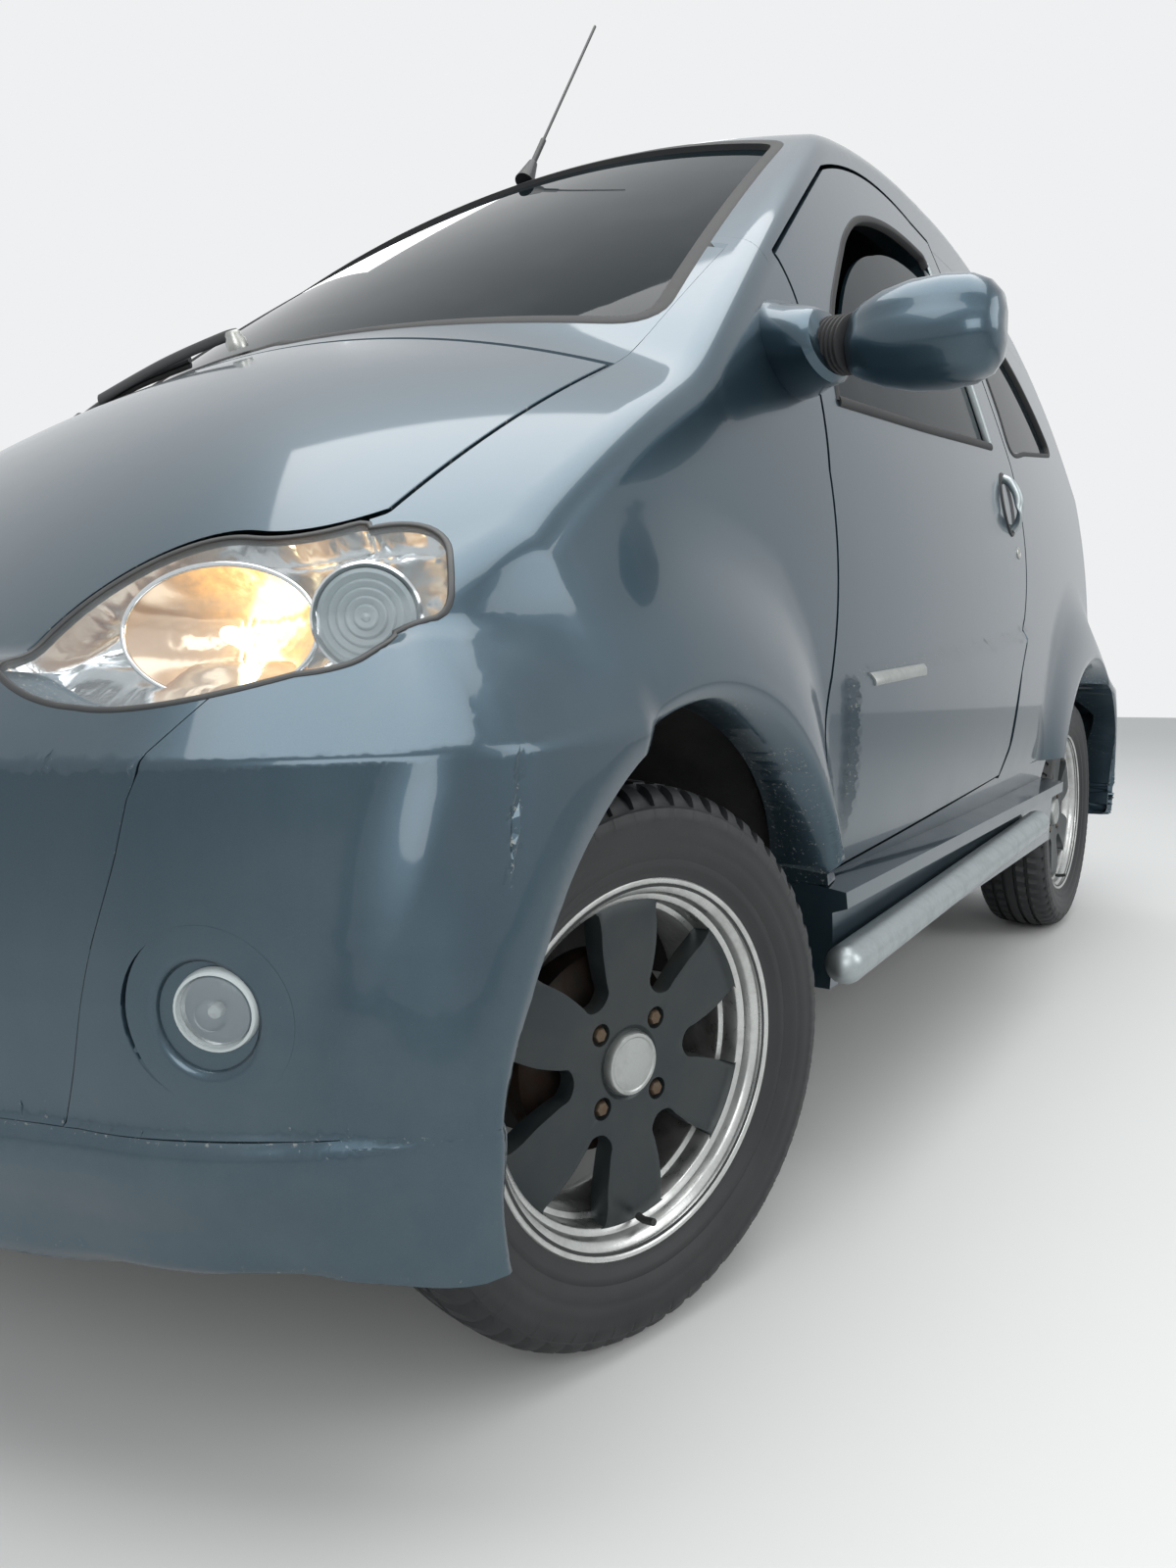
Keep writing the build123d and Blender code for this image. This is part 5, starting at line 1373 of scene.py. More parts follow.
    def settled(self, points: np.ndarray, faces: np.ndarray, outer: np.ndarray,
            rounds: int = 6) -> np.ndarray:
        """Spread the outer points evenly over the surface, so that no face is folded; those on a rim stay.

        Args:
            points: corners.
            faces: triangles.
            outer: which points lie on the outer skin.
            rounds: how often each point moves.

        Returns:
            The corners.
        """
        skin = faces[outer[faces].all(1)]
        pairs = sides_of(skin)
        edges, uses = np.unique(pairs, axis=0, return_counts=True)
        loose = outer.copy()
        loose[edges[uses == 1].ravel()] = False
        loose[np.unique(faces[~outer[faces].all(1)])] = False
        for turn in range(rounds):
            here, there = edges.ravel(), edges[:, ::-1].ravel()
            count = np.bincount(here, minlength=len(points))
            total = np.stack([np.bincount(here, points[there, axis], len(points)) for axis in range(3)], 1)
            pick = loose & (count > 0)
            points = points.copy()
            points[pick] = points[pick] * self.hold + total[pick] / count[pick, None] * (1 - self.hold)
            if turn % 2 or turn == rounds - 1:
                points[pick] = FORM.touch(points[pick], 2)
        return points

    def panel(self, node: str, longest: float, deep: float, flat: float) -> bpy.types.Object:
        """Smooth copy of one panel.

        Args:
            node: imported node.
            longest: longest edge of the outer skin.
            deep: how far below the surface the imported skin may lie.
            flat: the same for faces that look straight outwards.

        Returns:
            The new piece.
        """
        points, faces, _ = packed_mesh(self.frame["nodes"][node])
        outer = self.outer_of(points, faces, deep, flat)
        points, faces, outer = refined(points, faces, outer, lambda middle: np.full(len(middle), longest))
        if node.startswith(("fender", "nose")):
            points = self.fog_shift(points)
        points[outer] = FORM.touch(points[outer])
        points = self.settled(points, faces, outer)
        points, faces, outer = refined(points, faces, outer, lambda middle: np.clip(
            self.turn_per_edge / (FORM.turning(middle) + 1), self.finest, longest), 2, self.finest)
        points[outer] = FORM.touch(points[outer])
        points = self.settled(points, faces, outer)
        piece = new_object(node + "_skin", points, faces)
        self.roll_edges(piece, outer)
        self.shade(piece)
        return piece

    def roll_edges(self, piece: bpy.types.Object, outer: np.ndarray) -> None:
        """Round the sharp edges whose ends both lie on the outer skin."""
        bevel(piece, lambda edge: (outer[edge.verts[0].index] and outer[edge.verts[1].index]
                and edge.calc_face_angle(0.0) > 0.6), width=self.edge_width, loop_slide=False)

    def shade(self, piece: bpy.types.Object) -> None:
        """Normals from the smooth form on the skin, flat ones elsewhere, and the worn rim marked."""
        mesh = piece.data
        count = len(mesh.vertices)
        points = np.empty(count * 3)
        mesh.vertices.foreach_get("co", points)
        points = points.reshape(-1, 3)
        d, g = FORM.measure(points)
        on_skin = np.abs(d) < 0.0008
        loops = np.empty(len(mesh.loops), np.int64)
        mesh.loops.foreach_get("vertex_index", loops)
        face_normal = np.empty(len(mesh.polygons) * 3)
        mesh.polygons.foreach_get("normal", face_normal)
        face_normal = face_normal.reshape(-1, 3)
        total = np.empty(len(mesh.polygons), np.int64)
        mesh.polygons.foreach_get("loop_total", total)
        owner = np.repeat(np.arange(len(mesh.polygons)), total)
        normal = face_normal[owner]
        agree = (normal * g[loops]).sum(1)
        skin_loop = on_skin[loops] & (agree > 0.55)
        normal = np.where(skin_loop[:, None], g[loops], normal)
        mesh.polygons.foreach_set("use_smooth", [True] * len(mesh.polygons))
        mesh.normals_split_custom_set(normal.tolist())
        skin_face = (face_normal * g[[p.vertices[0] for p in mesh.polygons]]).sum(1) > 0.8
        used_on, used_off = np.zeros(count, bool), np.zeros(count, bool)
        used_on[loops[skin_face[owner]]] = True
        used_off[loops[~skin_face[owner]]] = True
        rim = used_on & used_off & on_skin
        edge = mesh.attributes.new("edge", "FLOAT", "POINT")
        values = np.where(rim | ~on_skin, 1.0, 0.0)
        edge.data.foreach_set("value", values.astype(np.float32))

    def build(self) -> None:
        """Make every painted panel."""
        for node, body, longest, deep, flat in self.TABLE:
            piece = self.panel(node, longest, deep, flat)
            dress(piece, SIDE_PAINT if node.startswith(("door", "fender", "front_lip")) else PAINT)
            made = [(piece, node, body)]
            if node.endswith("_left"):
                right = node.replace("_left", "_right")
                made.append((twin(piece, right + "_skin"), right, body.replace("_left", "_right")))
            for each, its_node, its_body in made:
                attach(each, its_body)
                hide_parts(its_node)
                report(each)


class Axle(Enum):
    """End of the car that a wheel stands at."""

    FRONT = "front"
    REAR = "rear"


@dataclass
class Wheel:
    """Alloy wheel with its tyre, made at the origin with its axle along X and then stood at all four corners."""

    radius: float = 0.266
    half_width: float = 0.075
    track: float = 0.617
    kingpin: float = 0.520
    rest_steer: float = -14.0
    pitches: int = 60
    groove_depth: float = 0.0068
    spokes: int = 6
    spoke_face: float = 0.046
    spoke_depth: float = 0.020
    bolts: int = 4
    lug_circle: float = 0.050
    lug_radius: float = 0.0108

    def tyre(self) -> bpy.types.Object:
        """Radial tyre with four grooves, cut shoulders, rim guard and serrated sidewalls."""
        # x, radius, cut across by the shoulder slots, serrated
        half = [(0.0, 0.2660, 0, 0), (0.0082, 0.2659, 0, 0), (0.0088, 0.2592, 0, 0), (0.0152, 0.2592, 0, 0),
                (0.0158, 0.2657, 0, 0), (0.0240, 0.2652, 1, 0), (0.0318, 0.2646, 1, 0),
                (0.0324, 0.2576, 0, 0), (0.0392, 0.2572, 0, 0), (0.0398, 0.2638, 0, 0),
                (0.0440, 0.2632, 1, 0), (0.0520, 0.2617, 1, 0), (0.0590, 0.2588, 1, 0),
                (0.0640, 0.2552, 1, 0), (0.0672, 0.2508, 1, 0), (0.0694, 0.2462, 0, 0),
                (0.0706, 0.2450, 0, 0), (0.0716, 0.2440, 0, 1), (0.0736, 0.2380, 0, 1),
                (0.0745, 0.2330, 0, 1), (0.0745, 0.2318, 0, 0), (0.0750, 0.2240, 0, 0),
                (0.0748, 0.2160, 0, 0), (0.0742, 0.2150, 0, 0), (0.0736, 0.2095, 0, 0),
                (0.0736, 0.2085, 0, 0), (0.0712, 0.2020, 0, 0), (0.0682, 0.1965, 0, 0),
                (0.0688, 0.1930, 0, 0), (0.0676, 0.1890, 0, 0), (0.0640, 0.1850, 0, 0),
                (0.0618, 0.1790, 0, 0), (0.0600, 0.1700, 0, 0)]
        rows = [(-x, r, c, t) for x, r, c, t in reversed(half)] + half[1:]
        steps = (0.0, 0.1, 0.16, 0.5, 0.9)
        angles = [2 * math.pi * (i + share) / self.pitches for i in range(self.pitches) for share in steps]
        points = []
        for index, angle in enumerate(angles):
            slot = index % len(steps) in (1, 2)
            for x, r, cut, serrated in rows:
                # the slots lean a little, and the left half is half a pitch behind the right
                turn = angle + abs(x) * 0.9 + (math.pi / self.pitches if x < 0 else 0.0)
                reach = r - (self.groove_depth if slot and cut else 0.0)
                side = x + (math.copysign(0.0007, x) if serrated and index % 2 else 0.0)
                points.append((side, reach * math.cos(turn), reach * math.sin(turn)))
        width, count = len(rows), len(angles)
        faces = [(i * width + k, i * width + k + 1, (i + 1) % count * width + k + 1,
                (i + 1) % count * width + k) for i in range(count) for k in range(width - 1)]
        return finished(new_object("tyre_mould", points, faces), TYRE_RUBBER, 32)

    def barrel(self) -> bpy.types.Object:
        """Rim with its bright outer lip, drop centre and inner flange."""
        profile = [(0.168, -0.060), (0.178, -0.0605), (0.1795, -0.0585), (0.178, -0.0560), (0.170, -0.0540),
                (0.160, -0.038), (0.157, 0.020), (0.167, 0.052), (0.1765, 0.0560), (0.1795, 0.0590),
                (0.1795, 0.0610), (0.1775, 0.0625), (0.1745, 0.0620), (0.1725, 0.0600), (0.1712, 0.0560),
                (0.1645, 0.0530), (0.1630, 0.0505), (0.1610, 0.0440), (0.1560, 0.0420), (0.1545, 0.0400),
                (0.1530, 0.0220), (0.1480, 0.0200), (0.1470, 0.0180), (0.1490, -0.034), (0.157, -0.054),
                (0.168, -0.060)]
        return turned("barrel_mould", profile, (0, 0, 0), (1, 0, 0), BRIGHT_ALLOY, 96)

    def spoke_disc(self) -> bpy.types.Object:
        """Six broad spokes: a turned disc with U windows cut through it and bright machined edges."""
        face, depth = self.spoke_face, self.spoke_depth
        profile = [(0.0, face - depth), (0.060, face - depth - 0.003), (0.110, face - depth - 0.004),
                (0.1545, 0.020), (0.1580, 0.0240), (0.1590, face - 0.006), (0.1545, face - 0.0035),
                (0.135, face - 0.0010), (0.105, face - 0.0015), (0.074, face - 0.0035),
                (0.060, face - 0.0050), (0.036, face - 0.0055), (0.032, face - 0.0080), (0.0, face - 0.0080)]
        disc = turned("spokes_mould", profile[1:-1], (0, 0, 0), (1, 0, 0), SPOKE_PAINT, 120)
        shape = bmesh.new()
        shape.from_mesh(disc.data)
        bmesh.ops.holes_fill(shape, edges=[e for e in shape.edges if e.is_boundary], sides=0)
        bmesh.ops.recalc_face_normals(shape, faces=shape.faces)
        shape.to_mesh(disc.data)
        shape.free()
        for index in range(self.spokes):
            self.cut(disc, self.window(), index * 360 / self.spokes + 30)
        for index in range(self.bolts):
            bpy.ops.mesh.primitive_cylinder_add(
                vertices=28, radius=self.lug_radius, depth=0.03, location=(face + 0.0015, 0, self.lug_circle),
                rotation=(0, math.pi / 2, 0))
            self.cut(disc, settle(bpy.context.object), index * 90 + 45)
        disc.data.materials.append(MACHINED.material())
        bevel(disc, lambda edge: (min(v.co.x for v in edge.verts) > face - 0.0075
                                  and edge.calc_face_angle(0.0) > 0.9),
              width=0.0034, material=len(disc.data.materials) - 1)
        smooth(disc, 30)
        return disc

    def window(self) -> bpy.types.Object:
        """Cutter of one opening between two spokes."""
        outline = [(0.0890, -0.0175), (0.1150, -0.0270), (0.1400, -0.0400), (0.1490, -0.0420),
                (0.1515, -0.0370), (0.1560, -0.0200), (0.1572, 0.0), (0.1560, 0.0200), (0.1515, 0.0370),
                (0.1490, 0.0420), (0.1400, 0.0400), (0.1150, 0.0270), (0.0890, 0.0175), (0.0760, 0.0135),
                (0.0700, 0.0), (0.0760, -0.0135)]
        ring = eased(np.array(outline), 0.005, closed=True)
        rings = [np.array([(x, u, r) for r, u in ring]) for x in (-0.02, 0.09)]
        return lofted("window_cutter", rings, SPOKE_PAINT)

    def cut(self, piece: bpy.types.Object, cutter: bpy.types.Object, degrees: float) -> None:
        """Take a turned cutter away from the piece."""
        cutter.data.transform(Matrix.Rotation(math.radians(degrees), 4, "X"))
        modify(piece, "BOOLEAN", operation="DIFFERENCE", solver="EXACT", object=cutter)
        bpy.data.objects.remove(cutter, do_unlink=True)

    def fittings(self) -> bpy.types.Object:
        """Blank hub cap, four rusty bolts, valve and brake drum in one piece."""
        face = self.spoke_face
        cap = turned("fittings_mould", [(0.0305, face - 0.010), (0.0305, face - 0.0015),
                (0.0290, face + 0.0008), (0.0262, face + 0.0012), (0.0248, face + 0.0002),
                (0.0180, face + 0.0012), (0.0080, face + 0.0020), (0.0002, face + 0.0021)], (0, 0, 0),
                (1, 0, 0), CAP_SILVER, 48)
        bolts = []
        for index in range(self.bolts):
            angle = math.radians(index * 90 + 45)
            at = (face - 0.0135, -math.sin(angle) * self.lug_circle, math.cos(angle) * self.lug_circle)
            bolts.append(turned("bolt", [(0.0100, 0.0), (0.0098, 0.0012), (0.0076, 0.0024), (0.0074, 0.0074),
                    (0.0062, 0.0090), (0.0002, 0.0094)], at, (1, 0, 0), RUSTY_BOLT, 6))
        valve = tube("valve", [(0.0480, 0.0, -0.1500), (0.0560, 0.0, -0.1510), (0.0700, 0.0, -0.1480)],
                0.0036, BLACK_RUBBER, 10)
        drum = turned("drum", [(0.042, -0.034), (0.094, -0.034), (0.098, -0.030), (0.098, -0.004),
                (0.090, 0.004), (0.060, 0.008), (0.042, 0.008)], (0, 0, 0), (1, 0, 0), DRUM_IRON, 64)
        return weld(cap, (*bolts, valve, drum))

    def place(self, axle: Axle, side: int) -> Matrix:
        """Where a wheel stands."""
        at = AXLE_Y if axle is Axle.FRONT else AXLE_Y + WHEELBASE
        stand = Matrix.Scale(side, 4, (1, 0, 0)) @ Matrix.Translation((self.track, at, self.radius))
        if axle is Axle.REAR:
            return stand
        pin = Matrix.Translation((side * self.kingpin, AXLE_Y, 0))
        return pin @ Matrix.Rotation(math.radians(self.rest_steer), 4, "Z") @ pin.inverted() @ stand

    def build(self) -> None:
        """Make one set and stand copies at the corners."""
        moulds = ((self.tyre(), "tyre"), (self.spoke_disc(), "rim"), (self.barrel(), "barrel"),
                  (self.fittings(), "fittings"))
        for axle in Axle:
            for side in SIDES:
                corner = f"{axle.value}_{side_name(side)}"
                for mould, word in moulds:
                    piece = mould.copy()
                    piece.data = mould.data.copy()
                    piece.name = f"{word}_{corner}_detail"
                    bpy.context.scene.collection.objects.link(piece)
                    piece.data.transform(self.place(axle, side))
                    if side < 0:
                        piece.data.flip_normals()
                    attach(piece, f"wheel_{corner}")
                    if word in ("tyre", "rim"):
                        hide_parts(f"{word}_{corner}")
                    report(piece)
        for mould, _ in moulds:
            bpy.data.objects.remove(mould, do_unlink=True)


def near_skin(node: bpy.types.Object, longest: float) -> tuple[np.ndarray, np.ndarray, np.ndarray]:
    """Outward faces of a packed lamp that lie near the body's surface.

    Args:
        node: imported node.
        longest: longest edge after refining.

    Returns:
        Points, triangles, and the distance of each point inside the rim of those faces.
    """
    lowest, highest, batch = -0.016, 0.03, 2000
    points, faces, normals = packed_mesh(node)
    d, g = FORM.measure(points)
    kept = ((d[faces] > lowest) & (d[faces] < highest)).all(1) & ((normals * g[faces].mean(1)).sum(1) > 0.5)
    faces = faces[kept]
    points, faces, _ = refined(points, faces, np.ones(len(points), bool),
            lambda middle: np.full(len(middle), longest))
    used, back = np.unique(faces, return_inverse=True)
    points, faces = points[used], back.reshape(-1, 3)
    inside = np.full(len(points), 1.0)
    for loop in rims(faces):
        rim = points[loop]
        for start in range(0, len(points), batch):
            gap = np.linalg.norm(points[start:start + batch, None] - rim[None], axis=2).min(1)
            inside[start:start + batch] = np.minimum(inside[start:start + batch], gap)
    return points, faces, inside


def rims(faces: np.ndarray) -> list[list[int]]:
    """Closed boundary loops of a sheet of triangles, as lists of more than 12 corners."""
    edges = dict.fromkeys((int(f[k]), int(f[(k + 1) % 3])) for f in faces for k in range(3))
    runs = {a: b for a, b in edges if (b, a) not in edges}
    loops = []
    while runs:
        start, at = runs.popitem()
        loop = [start]
        while at != start and at in runs:
            loop.append(at)
            at = runs.pop(at)
        loops.append(loop)
    return [loop for loop in loops if len(loop) > 12]


def sheet(name: str, points: np.ndarray, faces: np.ndarray, thickness: float,
        finish: Finish) -> bpy.types.Object:
    """Skin made of a sheet of triangles and given a thickness behind it.

    Args:
        name: piece name.
        points: its corners.
        faces: its triangles.
        thickness: metres.
        finish: its finish.

    Returns:
        The piece.
    """
    piece = new_object(name, points, faces)
    modify(piece, "SOLIDIFY", thickness=thickness, offset=-1.0)
    smooth(piece, 60)
    return dress(piece, finish)


@dataclass
class Headlamps:
    """Almond lamps: clear lens on the body's surface, lit oval reflector, round clear lamp and bright bowl."""

    bowl_depth: float = 0.062
    bowl_skin: float = 0.0012
    lens_skin: float = 0.003
    longest: float = 0.009
    oval_centre: Point = (0.505, AXLE_Y - 0.350, 0.672)
    oval_facing: Point = (0.42, -0.90, 0.12)
    oval_half: Point = (0.078, 0.050)
    round_centre: Point = (0.604, AXLE_Y - 0.296, 0.679)
    round_facing: Point = (0.62, -0.78, 0.06)
    round_radius: float = 0.036
    rings: int = 5
    ring_pitch: float = 0.0062
    rib_width: float = 0.0062
    rib_depth: float = 0.0011

    def lens(self, node: bpy.types.Object, side: int) -> list[bpy.types.Object]:
        """Clear cover, bowl behind it and black line round it.

        Args:
            node: packed lamp.
            side: left (1) or right (-1).

        Returns:
            The three pieces.
        """
        points, faces, inside = near_skin(node, self.longest)
        points = FORM.touch(points)
        _, g = FORM.measure(points)
        word = side_name(side)
        cover = sheet(f"headlamp_cover_{word}", points - g * 0.0006, faces, self.lens_skin, LENS)
        depth = self.bowl_depth * (1 - np.exp(-inside / 0.016)) + 0.0045
        inward = np.array((-0.30 * side, 0.94, -0.10))
        blend = np.clip(inside / 0.02, 0, 1)[:, None]
        direction = -g * (1 - blend) + inward * blend
        bowl = sheet(f"headlamp_bowl_{word}", points + direction * depth[:, None], faces, self.bowl_skin,
                CHROME)
        loop = max(rims(faces), key=len)
        ring = FORM.touch(eased(points[loop][::2], 0.008, closed=True))
        _, normals = FORM.measure(ring)
        section = half_round(0.0055, 0.0012, -0.006)
        return [cover, bowl, strip(f"headlamp_bezel_{word}", ring, normals, section, LAMP_SEAL, closed=True)]

    def frame_of(self, centre: Point, facing: Point) -> tuple[np.ndarray, np.ndarray, np.ndarray, np.ndarray]:
        """Centre, sideways, upward and outward directions of a lamp."""
        out = np.array(facing) / np.linalg.norm(facing)
        across = np.cross((0, 0, 1), out)
        across /= np.linalg.norm(across)
        return np.array(centre), across, np.cross(out, across), out

    def reflector(self) -> list[bpy.types.Object]:
        """Ribbed oval reflector with a glowing bulb, on the left."""
        at, across, up, out = self.frame_of(self.oval_centre, self.oval_facing)
        half_wide, half_high = self.oval_half
        rows, columns = 18, 72
        points = []
        for i in range(rows + 1):
            share = (i + 0.25) / (rows + 0.25)
            for k in range(columns):
                angle = 2 * math.pi * k / columns
                u, v = math.cos(angle) * share, math.sin(angle) * share
                rib = self.rib_depth * abs(math.sin(u * half_wide / self.rib_width * math.pi)) * (v < 0.25)
                deep = 0.040 * (1 - share ** 2) - rib
                points.append(at + across * (u * half_wide) + up * (v * half_high) - out * deep)
        faces = [*net(rows + 1, columns), tuple(range(columns))]
        dish = new_object("headlamp_reflector", points, faces)
        smooth(dish, 25)
        dress(dish, LIT_REFLECTOR)
        ring = np.array([at + across * (math.cos(a) * half_wide) + up * (math.sin(a) * half_high)
                         for a in np.linspace(0, 2 * math.pi, 72, endpoint=False)])
        edge = tube("headlamp_reflector_rim", ring, 0.0022, CHROME, 8, closed=True)
        bulb = turned("headlamp_bulb", [(0.0002, 0.030), (0.0052, 0.028), (0.0068, 0.022), (0.0068, 0.004),
                (0.0085, 0.003), (0.0085, -0.004)], at - out * 0.038, out, GLOWING_BULB, 20)
        return [dish, edge, bulb]

    def round_lamp(self) -> list[bpy.types.Object]:
        """Clear lamp with concentric rings, on the left."""
        at, across, up, out = self.frame_of(self.round_centre, self.round_facing)
        radius = self.round_radius
        profile = [(radius, -0.012), (radius, 0.002), (radius - 0.0015, 0.0032)]
        for ring in range(self.rings):
            r = radius - 0.0035 - ring * self.ring_pitch
            profile += [(r, 0.0042 + ring * 0.0006), (r - 0.0042, 0.0026 + ring * 0.0006),
                    (r - 0.0056, 0.0046 + ring * 0.0006)]
        profile.append((0.0002, 0.0078))
        glass = turned("round_lamp_glass", profile, at, out, RIBBED_GLASS, 48)
        back = turned("round_lamp_dish", [(0.0002, -0.030), (0.012, -0.028), (radius * 0.8, -0.016),
                (radius + 0.002, -0.004), (radius + 0.005, 0.001), (radius + 0.003, 0.003),
                (radius + 0.001, 0.0)], at, out, CHROME, 48)
        bulb = turned("round_lamp_bulb", [(0.0002, 0.0), (0.006, -0.002), (0.0075, -0.008),
                (0.0075, -0.024)], at, out, GREY_GLASS, 20)
        return [glass, back, bulb]

    def build(self, frame: dict) -> None:
        """Make both lamps; the inner pieces of the right one are mirror images."""
        for side in SIDES:
            node = f"headlamp_{side_name(side)}"
            made = self.lens(frame["nodes"][node], side)
            for piece in made:
                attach(piece, "car")
                report(piece)
            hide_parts(node)
        for piece in (*self.reflector(), *self.round_lamp()):
            pair(piece, "car")


@dataclass
class FogLamps:
    """Clear fog lamps set in dished recesses of the bumper."""

    place: Point = (583.0, 416.0)
    slant: float = 0.8
    # radius in mm and lift from the skin in metres, from the flush collar inwards
    DISH: Points = ((64, -0.003), (64, 0.0003), (46, 0.0006), (42, 0.0), (39, -0.003), (36.5, -0.010),
            (35, -0.020), (34, -0.030), (20, -0.034), (1, -0.034))

    def build(self) -> None:
        """Make dish, glass and bulb on both sides."""
        points, normals = on_form([self.place], View.FRONT)
        at, out = points[0], normals[0]
        side = Vector((0, 0, 1)).cross(Vector(out)).normalized()
        centre = at + np.array(side) * 0.008 + np.array((0, 0, 0.005))
        rings = []
        for radius, lift in self.DISH:
            turns = np.linspace(0, 2 * math.pi, 56, endpoint=False)
            pairs = [(self.place[0] + radius * self.slant * math.cos(t),
                    self.place[1] + radius * math.sin(t)) for t in turns]
            rings.append(on_form(pairs, View.FRONT, lift)[0])
        dish = lofted("fog_dish", rings, SIDE_PAINT, angle=40)
        ring = turned("fog_ring", [(0.0290, -0.022), (0.0295, -0.004), (0.0282, 0.0005), (0.0262, 0.0012),
                (0.0250, -0.002), (0.0250, -0.022)], centre, out, FOG_RING, 40)
        glass = turned("fog_glass", [(0.0252, -0.004), (0.0248, 0.0016), (0.0225, 0.0034), (0.0160, 0.0044),
                (0.0110, 0.0050), (0.0100, 0.0085), (0.0070, 0.0118), (0.0030, 0.0130), (0.0002, 0.0132)],
                centre, out, CLEAR_GLASS, 40)
        back = turned("fog_reflector", [(0.0246, -0.003), (0.0200, -0.014), (0.0120, -0.022),
                (0.0002, -0.024)], centre, out, CHROME, 40)
        bulb = turned("fog_bulb", [(0.0002, 0.002), (0.0045, 0.0), (0.0055, -0.006), (0.0055, -0.02)],
                centre, out, GREY_GLASS, 16)
        for piece in (dish, ring, glass, back, bulb):
            pair(piece, "car")
        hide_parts("fog_lamps")


@dataclass
class TailLamps:
    """Red lamps set in the rear corners, with bright bowls behind; their clear band is not made."""

    bowl_depth: float = 0.028
    bowl_skin: float = 0.0012
    lens_skin: float = 0.003
    longest: float = 0.014

    def build(self, frame: dict) -> None:
        """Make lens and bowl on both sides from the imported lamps' skins."""
        points, faces, inside = near_skin(frame["nodes"]["tail_lamps"], self.longest)
        points = FORM.touch(points)
        _, g = FORM.measure(points)
        cover = sheet("tail_lamp_covers", points - g * 0.0006, faces, self.lens_skin, RED_LENS)
        depth = self.bowl_depth * (1 - np.exp(-inside / 0.010)) + 0.0045
        bowl = sheet("tail_lamp_bowls", points - g * depth[:, None], faces, self.bowl_skin, CHROME)
        for piece in (cover, bowl):
            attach(piece, "car")
            report(piece)
        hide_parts("tail_lamps")


